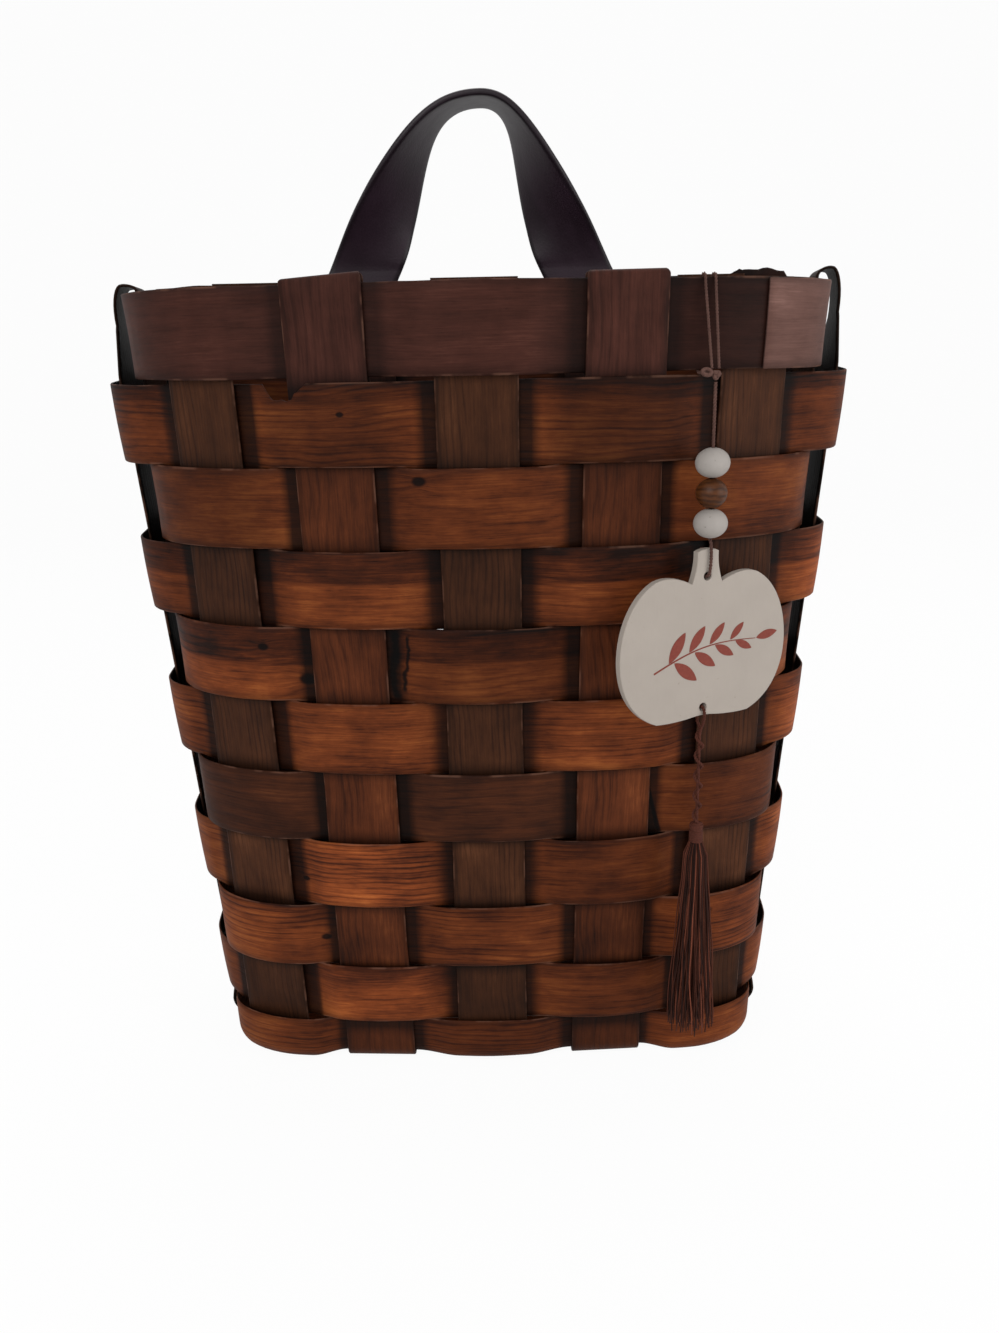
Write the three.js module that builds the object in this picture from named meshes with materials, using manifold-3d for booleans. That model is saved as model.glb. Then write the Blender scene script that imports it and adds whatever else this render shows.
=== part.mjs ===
// A hanging wall basket, plain woven from wide wooden splints, with a leather strap
// handle and a hanging charm. Millimetres, +Z up, +X right, the wall is on the +Y side.
// Heights written as levels are measured at the front; the back rim stands a little higher.

import * as THREE from "three";
import { mergeVertices } from "three/addons/utils/BufferGeometryUtils.js";
import Module from "manifold-3d";

// Splints
const seatGap = 0.3; // clearance wherever one piece lies on another
const stakeWidth = 38;
const stakeThickness = 1.3;
const weaverWidth = 38;
const weaverThickness = 1.2;
const rowGap = 0.6; // between two weavers
const weaverRows = 9; // full width rows under the rim band
const bottomRowHeight = 13; // straight part of the last row, above the base bend
const rimBandWidth = 40;
const rimSlit = 2.1; // open slit under the rim band
const frontBow = 1; // how far a weaver stands off the stake that it passes over
const sideBow = 3; // the same at the side stakes
const lapLength = 46; // overlap of a hoop's two ends

// Plan of the basket: half a superellipse at the front, flat wall at the back
const rimHalfWidth = 178.5;
const baseHalfWidth = 148.5;
const rimFrontPower = 2; // power of the front curve: an ellipse at the rim
const baseFrontPower = 3.2; // and squarer at the base
const rimFrontDepth = 80; // front of the basket to its widest line
const baseFrontDepth = 45;
const frontLean = 25; // the base sits this far behind the rim
const backPlane = 145; // front of the rim to the back wall
const backCornerRadius = 30;
const backRise = 10; // the back rim over the front rim
const baseBendRadius = 10;

// Stakes, as distances from the middle
const innerStakeRim = 68;
const innerStakeBase = 63;
const outerStakeRim = 131;
const outerStakeBase = 121;
const outerStakeBaseBack = 108;
const sideStakePlace = 0.5; // place of the side stake along the straight side
const sideStandOffRim = 10; // the side stake hangs this far outside the plan at the rim
const sideStandOffBase = 4;
const foldRise = 1; // air between the rim band and a stake folded over it
const tailLength = 62; // folded end inside the rim
const cutRise = 0.8; // cut stake ends above the rim
const sideLoopHeight = 4; // the side stake's loop over the rim band
const sideTailLength = 200; // its tail goes outside rows 3 and 5
const fillerFrontWidth = 22;
const fillerBackWidth = 20;
const fillerInset = 22; // a filler's end short of the outer stake's edge
const fillerSlant = 9; // how far its end is cut back on the rounded front corners

// Leather strap
const strapWidth = 36;
const strapThickness = 3.6;
const strapRise = 82; // hinge line to the top of the arch
const strapHalfSpan = 57.8;
const strapOffset = -4;
const strapSlope = 27; // degrees off upright where the legs meet the rim
const strapShoulder = 27;
const strapLegShare = 0.72; // how far up the legs stay straight
const strapTwistPower = 2.2; // how late the strap turns on its way down
const strapTopShift = 7.5; // the top of the arch sits this far towards +X
const strapSetOut = 10; // the untwisted top stands this far out from the wall
const strapLean = 2; // degrees that the arch leans out from the wall
const strapTail = 52;
const strapHingeRise = 3; // hinge line over the folded stakes
const strapEndRadius = 9;
const rivetRadius = 2;
const rivetHeadRadius = 4.6;
const rivetHeadHeight = 1.9;
const rivetBurrRadius = 3.4;
const rivetBurrThickness = 0.7;
const rivetFirst = 12; // below the back rim
const rivetPitch = 21;

// Charm
const charmX = 104;
const charmStandOff = 10.5; // plumb line of the charm in front of the wall's middle surface
const strandDiameter = 1.5;
const cordDiameter = 1.8;
const strandSpread = 3.1;
const knotRadius = 2.9;
const knotDrop = 2; // below the rim band's lower edge
const knotToBead = 32; // knot's middle to the top of the first bead
const beadDiameter = 16;
const middleBeadDiameter = 14.6;
const beadHeight = 13.6;
const beadBore = 3;
const beadToTag = 5; // last bead to the top of the tag's stem
const tagWidth = 96;
const tagHeight = 72; // without the stem
const tagThickness = 4;
const tagBevel = 0.5;
const stemHeight = 12.5;
const stemWidth = 15;
const tagHoleRadius = 2.1;
const tagSetBack = 2.4; // the tag's middle behind the plumb line, as the cord passes in front
const stemHoleDrop = 13.3; // below the stem's top
const bottomHoleRise = 6; // above the lower edge of the lobes
const tagYaw = 25; // degrees, the right side further back
const tasselCordLength = 62; // bottom hole to the top of the tassel
const tasselHeadLength = 11;
const tasselHeadRadius = 3.6;
const tasselSkirtLength = 108;
const tasselSkirtTop = 4.6;
const tasselSkirtBottom = 14;
const tasselFlutes = 12;

// Worked out from the above
const halfStake = stakeWidth / 2;
const crossing = (stakeThickness + weaverThickness) / 2 + seatGap;
const stakeCrossing = stakeThickness + seatGap;
const baseLevel = stakeCrossing + stakeThickness / 2;
const bendLevel = baseLevel + baseBendRadius;
const rowPitch = weaverWidth + rowGap;
const bottomRowTop = bendLevel + bottomRowHeight;
const rimBottom = bottomRowTop + weaverRows * rowPitch + rimSlit;
const rimTop = rimBottom + rimBandWidth;
const backFactor = backRise / rimTop;
const degrees = Math.PI / 180;
const up = new THREE.Vector3(0, 0, 1);

const mix = (a, b, t) => a + (b - a) * t;
const clamp01 = (t) => Math.min(1, Math.max(0, t));
const vec = (x, y, z) => new THREE.Vector3(x, y, z);

// A closed or open loft through rings of corners, turned so that its faces point out.
function loft(rings, closed = false) {
  const corners = rings[0].length;
  const positions = [];
  rings.forEach((ring) => ring.forEach((p) => positions.push(p.x, p.y, p.z)));
  const faces = [];
  const spans = closed ? rings.length : rings.length - 1;
  for (let i = 0; i < spans; i++) {
    const a = i * corners;
    const b = ((i + 1) % rings.length) * corners;
    for (let j = 0; j < corners; j++) {
      const k = (j + 1) % corners;
      faces.push(a + j, b + j, b + k, a + j, b + k, a + k);
    }
  }
  if (!closed) {
    const last = (rings.length - 1) * corners;
    for (let j = 1; j < corners - 1; j++) {
      faces.push(0, j, j + 1, last, last + j + 1, last + j);
    }
  }
  let volume = 0;
  const corner = (n) => vec(positions[3 * n], positions[3 * n + 1], positions[3 * n + 2]);
  for (let f = 0; f < faces.length; f += 3) {
    const [p, q, r] = [faces[f], faces[f + 1], faces[f + 2]].map(corner);
    volume += p.dot(q.cross(r));
  }
  if (volume < 0) faces.reverse();
  const geometry = new THREE.BufferGeometry();
  geometry.setAttribute("position", new THREE.Float32BufferAttribute(positions, 3));
  geometry.setIndex(faces);
  return geometry;
}

// One section of a flat strip: its middle, half its width as a vector, and its direction.
function stripSection(middle, halfWidth, direction, thickness) {
  const face = direction.clone().cross(halfWidth).normalize().multiplyScalar(thickness / 2);
  return [
    middle.clone().add(halfWidth).add(face),
    middle.clone().sub(halfWidth).add(face),
    middle.clone().sub(halfWidth).sub(face),
    middle.clone().add(halfWidth).sub(face),
  ];
}

// A flat strip along stations { p, h, t }, where t is the thickness at that station.
function strip(stations, thickness) {
  const rings = stations.map((station, i) => {
    const before = stations[Math.max(0, i - 1)].p;
    const after = stations[Math.min(stations.length - 1, i + 1)].p;
    const direction = after.clone().sub(before).normalize();
    return stripSection(station.p, station.h, direction, station.t ?? thickness);
  });
  return loft(rings);
}

// A round cord along hand placed points.
function cord(points, diameter, steps, sides = 8) {
  const section = new THREE.Shape();
  for (let i = 0; i < sides; i++) {
    const a = (2 * Math.PI * i) / sides;
    const [x, y] = [(diameter / 2) * Math.cos(a), (diameter / 2) * Math.sin(a)];
    if (i === 0) section.moveTo(x, y);
    else section.lineTo(x, y);
  }
  const curve = new THREE.CatmullRomCurve3(points, false, "centripetal");
  return new THREE.ExtrudeGeometry(section, { steps, extrudePath: curve, bevelEnabled: false });
}

// The plan outline at a level: points, outward normals and running length, counted from
// the middle of the front towards +X and once round.
const halfWidthAt = (level) => mix(baseHalfWidth, rimHalfWidth, clamp01(level / rimTop));
const frontAt = (level) => frontLean * (1 - clamp01(level / rimTop));
const widestAt = (level) => frontAt(level) + mix(baseFrontDepth, rimFrontDepth, clamp01(level / rimTop));
const frontPowerAt = (level) => mix(rimFrontPower, baseFrontPower, (1 - clamp01(level / rimTop)) ** 2);

const planCache = new Map();
function planAt(level) {
  const key = level.toFixed(4);
  if (planCache.has(key)) return planCache.get(key);
  const w = halfWidthAt(level);
  const widest = widestAt(level);
  const depth = widest - frontAt(level);
  const r = Math.min(backCornerRadius, 0.45 * (backPlane - widest), 0.5 * w);
  const half = [];
  const arcSteps = 90;
  const power = frontPowerAt(level);
  for (let i = 0; i <= arcSteps; i++) {
    const a = (Math.PI / 2) * (i / arcSteps);
    const reach = (Math.sin(a) ** power + Math.cos(a) ** power) ** (-1 / power);
    half.push([w * reach * Math.sin(a), widest - depth * reach * Math.cos(a)]);
  }
  const sideSteps = 12;
  for (let i = 1; i <= sideSteps; i++) half.push([w, mix(widest, backPlane - r, i / sideSteps)]);
  const cornerSteps = 24;
  for (let i = 1; i <= cornerSteps; i++) {
    const a = (Math.PI / 2) * (i / cornerSteps);
    half.push([w - r + r * Math.cos(a), backPlane - r + r * Math.sin(a)]);
  }
  half.push([0, backPlane]);
  const mirrored = half.slice(1, -1).reverse().map(([x, y]) => [-x, y]);
  const points = [...half, ...mirrored];
  const lengths = [0];
  points.forEach(([x, y], i) => {
    const [nx, ny] = points[(i + 1) % points.length];
    lengths.push(lengths[i] + Math.hypot(nx - x, ny - y));
  });
  const total = lengths[points.length];
  const find = (s) => {
    const wrapped = ((s % total) + total) % total;
    let low = 0;
    let high = points.length;
    while (high - low > 1) {
      const middle = (low + high) >> 1;
      if (lengths[middle] <= wrapped) low = middle;
      else high = middle;
    }
    return [low, (wrapped - lengths[low]) / (lengths[low + 1] - lengths[low])];
  };
  const at = (s) => {
    const [i, t] = find(s);
    const a = points[i];
    const b = points[(i + 1) % points.length];
    return [mix(a[0], b[0], t), mix(a[1], b[1], t)];
  };
  const reach = 2;
  const normal = (s) => {
    const [ax, ay] = at(s - reach);
    const [bx, by] = at(s + reach);
    const length = Math.hypot(bx - ax, by - ay);
    return [(by - ay) / length, -(bx - ax) / length];
  };
  const lengthAtFrontX = (x) => {
    const i = Math.max(0, half.slice(0, arcSteps).findLastIndex((point) => point[0] <= x));
    return mix(lengths[i], lengths[i + 1], clamp01((x - half[i][0]) / (half[i + 1][0] - half[i][0])));
  };
  const sideLength = mix(lengths[arcSteps], lengths[arcSteps + sideSteps], sideStakePlace);
  const plan = { w, total, at, normal, lengthAtFrontX, sideLength };
  planCache.set(key, plan);
  return plan;
}

// Height of a point of the wall: a level rises a little towards the back.
const heightAt = (level, y) => level * (1 + (backFactor * clamp01((y - frontAt(level)) / backPlane)));

// The twelve uprights, from the middle of the front towards +X: where each crosses a plan.
const uprightCount = 12;
const isFolded = (i) => Math.abs(i % 2) === 1; // stakes 2 and 4 and the side stakes
const innerStakeX = (level) => mix(innerStakeBase, innerStakeRim, clamp01(level / rimTop));
const outerStakeX = (level) => mix(outerStakeBase, outerStakeRim, clamp01(level / rimTop));
const outerBackX = (level) => mix(outerStakeBaseBack, outerStakeRim, clamp01(level / rimTop));
function uprightPlace(level, i) {
  const plan = planAt(level);
  if (i < 0 || i > 6) {
    const turned = ((i % uprightCount) + uprightCount) % uprightCount;
    const turns = Math.floor(i / uprightCount) * plan.total;
    if (turned > 6) return turns + plan.total - uprightPlace(level, uprightCount - turned);
    return turns + uprightPlace(level, turned);
  }
  const middleBack = plan.total / 2;
  return [
    0,
    plan.lengthAtFrontX(innerStakeX(level)),
    plan.lengthAtFrontX(outerStakeX(level)),
    plan.sideLength,
    middleBack - outerBackX(level),
    middleBack - innerStakeX(level),
    middleBack,
  ][i];
}

// How far the plan falls away from a flat stake's face over the stake's half width.
function fallAt(level, i) {
  const plan = planAt(level);
  const s = uprightPlace(level, i);
  const [x, y] = plan.at(s);
  const [nx, ny] = plan.normal(s);
  const falls = [-halfStake, halfStake].map((ds) => {
    const [px, py] = plan.at(s + ds);
    return (x - px) * nx + (y - py) * ny;
  });
  return Math.max(...falls, 0);
}

// The middle of a flat stake at a level, set in by half that fall.
function stakeFrame(level, i, offset = 0) {
  const plan = planAt(level);
  const s = uprightPlace(level, i);
  const [x, y] = plan.at(s);
  const [nx, ny] = plan.normal(s);
  const inset = offset - fallAt(level, i) / 2;
  const point = vec(x + nx * inset, y + ny * inset, heightAt(level, y));
  return { point, out: vec(nx, ny, 0), along: vec(-ny, nx, 0) };
}

// Weavers
const passesOutside = (row, i) => (((i + row) % 2) + 2) % 2 === 1;
const isBack = (i) => {
  const turned = ((i % uprightCount) + uprightCount) % uprightCount;
  return turned >= 4 && turned <= 8;
};
const isSide = (i) => ((i % uprightCount) + uprightCount) % 6 === 3;
const standOffAt = (level, i) =>
  isSide(i) ? mix(sideStandOffBase, sideStandOffRim, clamp01(level / rimTop)) : 0;
function bowAt(i) {
  if (isBack(i)) return 0;
  return isSide(i) ? sideBow : frontBow;
}

// Offset of a weaver's middle from the plan at a place between upright i and the next:
// level over each stake's width, eased between them, and bowed where it passes outside.
function weaverOffset(row, level, i, s) {
  const sides = [i, i + 1].map((k) => {
    const place = uprightPlace(level, k);
    const sign = passesOutside(row, k) ? 1 : -1;
    const standOff = sign > 0 ? standOffAt(level, k) : 0;
    return { k, place, sign, reach: crossing + fallAt(level, k) / 2 + standOff };
  });
  const [a, b] = sides;
  const start = a.place + halfStake;
  const end = b.place - halfStake;
  const t = clamp01((s - start) / Math.max(1, end - start));
  const ease = (1 - Math.cos(Math.PI * t)) / 2;
  let offset = mix(a.sign * a.reach, b.sign * b.reach, ease);
  sides.forEach((side) => {
    if (side.sign < 0) return;
    const span = halfStake + (end - start) / 2;
    const away = clamp01(Math.abs(s - side.place) / span);
    offset += (bowAt(side.k) * (1 + Math.cos(Math.PI * away))) / 2;
  });
  return offset;
}

// Places along one span between two uprights, the same count at every level.
const spanStep = 15;
const spanCounts = Array.from({ length: uprightCount }, (unused, i) => {
  const open = uprightPlace(rimTop, i + 1) - uprightPlace(rimTop, i) - stakeWidth;
  return Math.max(3, Math.ceil(open / spanStep));
});
function spanPlaces(level, i) {
  const start = uprightPlace(level, i);
  const end = uprightPlace(level, i + 1);
  const count = spanCounts[((i % uprightCount) + uprightCount) % uprightCount];
  const places = [start, start + halfStake];
  for (let k = 1; k < count; k++) places.push(mix(start + halfStake, end - halfStake, k / count));
  places.push(end - halfStake);
  return places;
}

// All places round the hoop from upright first on, past the start again by the lap.
function hoopStations(row, level, first) {
  const stations = [];
  for (let i = first; i < first + uprightCount + 2; i++) {
    spanPlaces(level, i).forEach((s) => stations.push({ i, s, offset: weaverOffset(row, level, i, s) }));
  }
  return stations;
}

// One hoop. edges gives its section from top to bottom as { level, angle }, where angle is
// how far it has turned round the bend of the base. The strip's first end lies lapSide
// of its last end over the lap, and the two ends never touch.
function hoop(row, edges, thickness, lapUpright, lapSide, lapFrom) {
  const byEdge = edges.map(({ level }) => hoopStations(row, level, lapUpright));
  const start = byEdge[0][0].s;
  const total = planAt(edges[0].level).total;
  const startIndex = byEdge[0].findIndex((station) => station.s >= start + lapFrom - 1e-6);
  const wantedEnd = byEdge[0][startIndex].s + lapLength + total;
  const endIndex = byEdge[0].findIndex((station) => station.s >= wantedEnd - 1e-6);
  const lapEnd = byEdge[0][endIndex].s - total;
  const lapStep = thickness + seatGap;
  const rampLength = 12;
  const rings = [];
  for (let n = startIndex; n <= endIndex; n++) {
    const past = byEdge[0][n].s - lapEnd;
    const shift = lapSide * lapStep * clamp01(1 - past / rampLength);
    const side = (half) =>
      edges.map(({ level, angle }, e) => {
        const { s, offset } = byEdge[e][n];
        const plan = planAt(level);
        const [x, y] = plan.at(s);
        const [nx, ny] = plan.normal(s);
        const out = offset + shift + (half * thickness) / 2;
        const radius = baseBendRadius + out;
        const place = out - radius * (1 - Math.cos(angle * degrees));
        const drop = radius * Math.sin(angle * degrees);
        const foot = angle > 0 ? bendLevel - drop : level;
        return vec(x + nx * place, y + ny * place, heightAt(foot, y));
      });
    rings.push([...side(1), ...side(-1).reverse()]);
  }
  return loft(rings);
}

const straightEdges = (top, bottom) => [
  { level: top, angle: 0 },
  { level: bottom, angle: 0 },
];
const rowTop = (row) => rimBottom - rimSlit - (row - 2) * rowPitch;

// Stakes
// A stake's upper end: folded over the rim band with its tail inside, or cut off.
function stakeEnd(i) {
  if (!isFolded(i)) {
    const { point, along } = stakeFrame(rimTop, i);
    return [{ p: point.clone().add(vec(0, 0, cutRise)), h: along.multiplyScalar(halfStake) }];
  }
  const inner = -2 * crossing - fallAt(rimTop, i);
  const outer = standOffAt(rimTop, i);
  const radius = (outer - inner) / 2;
  const rise = isSide(i) ? sideLoopHeight : radius;
  const station = (level, offset) => {
    const { point, along } = stakeFrame(level, i, offset);
    return { p: point, h: along.multiplyScalar(halfStake) };
  };
  const tailLevels = [rimTop - sideTailLength, rowTop(4) + rowGap / 2, rowTop(3) + rowGap / 2];
  const sideTail = tailLevels.map((level) => station(level, 0));
  const tail = isSide(i) ? [...sideTail, station(rimBottom, inner)] : [station(rimTop - tailLength, inner)];
  const stations = [...tail, station(mix(rimBottom, rimTop, 0.5), inner)];
  const { point, out, along } = stakeFrame(rimTop, i, (inner + outer) / 2);
  const middle = point.add(vec(0, 0, foldRise));
  const steps = 8;
  for (let k = 0; k <= steps; k++) {
    const a = Math.PI * (1 - k / steps);
    const p = middle.clone().addScaledVector(out, radius * Math.cos(a));
    p.addScaledVector(up, rise * Math.sin(a));
    stations.push({ p, h: along.clone().multiplyScalar(halfStake) });
  }
  return stations;
}

function stakeWall(i) {
  const levels = Array.from({ length: weaverRows + 1 }, (unused, k) => rowTop(k + 2) + rowGap / 2);
  return [...levels, bendLevel].map((level) => {
    const { point, along } = stakeFrame(level, i, standOffAt(level, i));
    return { p: point, h: along.multiplyScalar(halfStake) };
  });
}

// The quarter turn from a wall into the base, towards dir, the wall's station given last.
function baseBend(wallStation, dir) {
  const steps = 4;
  const stations = [];
  for (let k = 1; k <= steps; k++) {
    const a = (Math.PI / 2) * (k / steps);
    const p = wallStation.p.clone();
    p.addScaledVector(dir, baseBendRadius * (1 - Math.cos(a)));
    p.z = bendLevel - baseBendRadius * Math.sin(a);
    stations.push({ p, h: wallStation.h.clone() });
  }
  return stations;
}

const flipped = (station) => ({ ...station, h: station.h.clone().negate() });

// A stake that runs down the front, under the base and up the back.
function crossStake(frontUpright, backUpright) {
  const front = [...stakeEnd(frontUpright), ...stakeWall(frontUpright)];
  const frontBend = baseBend(front.at(-1), vec(0, 1, 0));
  const back = [...stakeEnd(backUpright), ...stakeWall(backUpright)].map(flipped);
  const backBend = baseBend(back.at(-1), vec(0, -1, 0));
  const from = frontBend.at(-1);
  const to = backBend.at(-1);
  const base = [0.33, 0.67].map((t) => {
    const p = from.p.clone().lerp(to.p, t);
    const h = from.h.clone().lerp(to.h, t);
    h.multiplyScalar(halfStake / h.length());
    return { p, h };
  });
  const stations = [...front, ...frontBend, ...base, ...backBend.reverse(), ...back.reverse()];
  return { geometry: strip(stations, stakeThickness), baseRun: { from, to } };
}

// Where the five stakes lie on the base, in order of x, for the strips that cross them.
const crossUprights = [
  [-2, 8],
  [-1, 7],
  [0, 6],
  [1, 5],
  [2, 4],
];
const crossStakes = crossUprights.map(([front, back]) => crossStake(front, back));
function baseCrossings(y, halfWidth) {
  return crossStakes.map(({ baseRun: { from, to } }) => {
    const reached = [-1, 1].flatMap((side) => {
      const a = from.p.clone().addScaledVector(from.h, side);
      const b = to.p.clone().addScaledVector(to.h, side);
      return [-halfWidth, halfWidth].map((dy) => mix(a.x, b.x, (y + dy - a.y) / (b.y - a.y)));
    });
    return { left: Math.min(...reached) - seatGap, right: Math.max(...reached) + seatGap };
  });
}

// Stations of a strip that crosses the base from left to right under and over the stakes.
function baseWeave(y, halfWidth, underFirst) {
  const stations = [];
  const h = vec(0, halfWidth, 0);
  baseCrossings(y, halfWidth).forEach(({ left, right }, k) => {
    const under = k % 2 === (underFirst ? 0 : 1);
    const z = baseLevel + (under ? -stakeCrossing : stakeCrossing);
    stations.push({ p: vec(left, y, z), h }, { p: vec(right, y, z), h });
  });
  return stations;
}

function sideStake() {
  const right = [...stakeEnd(3), ...stakeWall(3)].map(flipped);
  const left = [...stakeEnd(-3), ...stakeWall(-3)];
  const leftBend = baseBend(left.at(-1), vec(1, 0, 0)).map(flipped);
  const rightBend = baseBend(right.at(-1), vec(-1, 0, 0)).map(flipped);
  const y = left.at(-1).p.y;
  const base = baseWeave(y, halfStake, true);
  return {
    geometry: strip(
      [...left.map(flipped), ...leftBend, ...base, ...rightBend.reverse(), ...right.map(flipped).reverse()],
      stakeThickness,
    ),
    y,
  };
}

// A splint beside it on the base, with its ends cut at a slant to clear the corner bends.
function fillerSplint(y, width, inset, slant) {
  const stations = baseWeave(y, width / 2, false);
  const ends = [stations[0], stations.at(-1)];
  ends.forEach((end, n) => {
    const side = n === 0 ? -1 : 1;
    end.p.x -= side * inset;
    end.h = vec(side * slant, width / 2, 0);
  });
  const rings = stations.map(({ p, h }, i) => {
    const before = stations[Math.max(0, i - 1)].p;
    const after = stations[Math.min(stations.length - 1, i + 1)].p;
    const along = vec(after.x - before.x, 0, after.z - before.z).normalize();
    return stripSection(p, h, along, stakeThickness);
  });
  return loft(rings);
}

// Booleans
const wasm = await Module();
wasm.setup();
function solid(geometry) {
  const bare = geometry.index ? geometry.toNonIndexed() : geometry.clone();
  bare.deleteAttribute("normal");
  bare.deleteAttribute("uv");
  const merged = mergeVertices(bare, 1e-4);
  return new wasm.Manifold(
    new wasm.Mesh({
      numProp: 3,
      vertProperties: merged.getAttribute("position").array,
      triVerts: new Uint32Array(merged.index.array),
    }),
  );
}
function fromSolid(made) {
  const mesh = made.getMesh();
  const geometry = new THREE.BufferGeometry();
  geometry.setAttribute("position", new THREE.BufferAttribute(mesh.vertProperties, 3));
  geometry.setIndex(new THREE.BufferAttribute(mesh.triVerts, 1));
  return geometry;
}
const drill = (geometry, cutters) =>
  fromSolid(cutters.reduce((left, cutter) => left.subtract(solid(cutter)), solid(geometry)));

// Strap, drawn upright at the back wall and then leaned out about its hinge line.
const backRim = heightAt(rimTop, backPlane);
const strapY = backPlane - 2 * crossing - stakeThickness / 2 - seatGap - strapThickness / 2;
const hingeZ = backRim + foldRise + crossing + stakeThickness / 2 + strapHingeRise;
const slope = strapSlope * degrees;
const straightLeg = strapLegShare * strapRise;
const legDirection = (side) => vec(side * Math.sin(slope), 0, -Math.cos(slope));
const archCurve = new THREE.CubicBezierCurve3(
  vec(0, 0, strapRise),
  vec(strapShoulder, 0, strapRise),
  vec(strapHalfSpan - straightLeg * Math.sin(slope), 0, straightLeg * Math.cos(slope)),
  vec(strapHalfSpan, 0, 0),
);

// One section of the arch, t from the top (0) to the hinge line (1) on one side.
function archStation(side, t) {
  const p = archCurve.getPoint(t);
  const direction = archCurve.getTangent(t);
  const twist = (Math.PI / 2) * t ** strapTwistPower;
  const outward = vec(-direction.z, 0, direction.x);
  const h = vec(0, -Math.cos(twist), 0).addScaledVector(outward, Math.sin(twist));
  const level = vec(1 / Math.cos(slope), 0, 0);
  h.lerp(level, clamp01((t - 0.8) / 0.2) ** 2).multiplyScalar(strapWidth / 2);
  const x = side * p.x + strapTopShift * (1 - t) ** 2;
  const y = -strapSetOut * Math.cos(twist);
  return { p: vec(x, y, p.z), h: vec(side * h.x, h.y, h.z) };
}

function strapArch() {
  const steps = 14;
  const half = (side) => {
    const stations = [];
    const end = archStation(side, 1);
    [80, 55, 28].forEach((angle) => {
      const p = end.p.clone().addScaledVector(up, (-strapThickness / 2) * Math.sin(angle * degrees));
      stations.push({ p, h: end.h.clone(), t: strapThickness * Math.cos(angle * degrees) });
    });
    for (let k = steps; k > 0; k--) stations.push(archStation(side, k / steps));
    return stations;
  };
  const left = half(-1);
  const right = half(1).reverse();
  const top = archStation(1, 0);
  const stations = [...left, top, ...right];
  const rings = stations.map((station, i) => {
    const before = stations[Math.max(0, i - 1)].p;
    const after = stations[Math.min(stations.length - 1, i + 1)].p;
    const direction = after.clone().sub(before).normalize();
    const nearEnd = i < 4 || i > stations.length - 5;
    const run = nearEnd ? vec(0, 0, i < 4 ? 1 : -1) : direction;
    return stripSection(station.p, station.h, run, station.t ?? strapThickness);
  });
  return loft(rings);
}

const strapTop = hingeZ - strapThickness / 2 - seatGap;
const tailPoint = (side, z) =>
  vec(strapOffset + side * (strapHalfSpan + (hingeZ - z) * Math.tan(slope)), strapY, z);
const tailBottom = strapTop - strapTail;
function strapEnd(side) {
  const half = strapWidth / 2 / Math.cos(slope);
  const stations = [{ p: tailPoint(side, strapTop), h: vec(half, 0, 0) }];
  const steps = 4;
  for (let k = 0; k <= steps; k++) {
    const a = (Math.PI / 2) * (k / steps);
    const z = tailBottom + strapEndRadius * (1 - Math.sin(a));
    const h = vec(half - strapEndRadius * (1 - Math.cos(a)), 0, 0);
    stations.push({ p: tailPoint(side, z), h });
  }
  const rings = stations.map(({ p, h }) => stripSection(p, h, vec(0, 0, -1), strapThickness));
  return loft(rings);
}

// Rivets, each through the strap, the stake's tail, the rim band and the stake.
const rivetPlaces = [-1, 1].flatMap((side) =>
  [0, 1].map((n) => tailPoint(side, backRim - rivetFirst - n * rivetPitch)),
);
const headSeat = strapY - strapThickness / 2 - seatGap;
const burrSeat = backPlane + stakeThickness / 2 + seatGap / 2;
function rivet() {
  const profile = [new THREE.Vector2(0, headSeat - rivetHeadHeight)];
  const steps = 4;
  for (let k = 1; k <= steps; k++) {
    const a = (Math.PI / 2) * (k / steps);
    profile.push(new THREE.Vector2(rivetHeadRadius * Math.sin(a), headSeat - rivetHeadHeight * Math.cos(a)));
  }
  profile.push(new THREE.Vector2(rivetRadius, headSeat));
  profile.push(new THREE.Vector2(rivetRadius, burrSeat));
  profile.push(new THREE.Vector2(rivetBurrRadius, burrSeat));
  profile.push(new THREE.Vector2(rivetBurrRadius * 0.8, burrSeat + rivetBurrThickness));
  profile.push(new THREE.Vector2(0, burrSeat + rivetBurrThickness));
  return new THREE.LatheGeometry(profile, 12);
}
function rivetHole(place) {
  const length = backPlane;
  const cutter = new THREE.CylinderGeometry(rivetRadius + seatGap, rivetRadius + seatGap, length, 12);
  return cutter.translate(place.x, backPlane, place.z);
}

// Charm: u runs along the wall, v out from it.
const rimPlan = planAt(rimTop);
const charmPlace = rimPlan.lengthAtFrontX(charmX);
const [charmWallX, charmWallY] = rimPlan.at(charmPlace);
const [charmOutX, charmOutY] = rimPlan.normal(charmPlace);
const charmOut = vec(charmOutX, charmOutY, 0);
const charmAlong = vec(-charmOutY, charmOutX, 0);
const charmPoint = (u, v, z) =>
  vec(charmWallX, charmWallY, z).addScaledVector(charmAlong, u).addScaledVector(charmOut, v);
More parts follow.
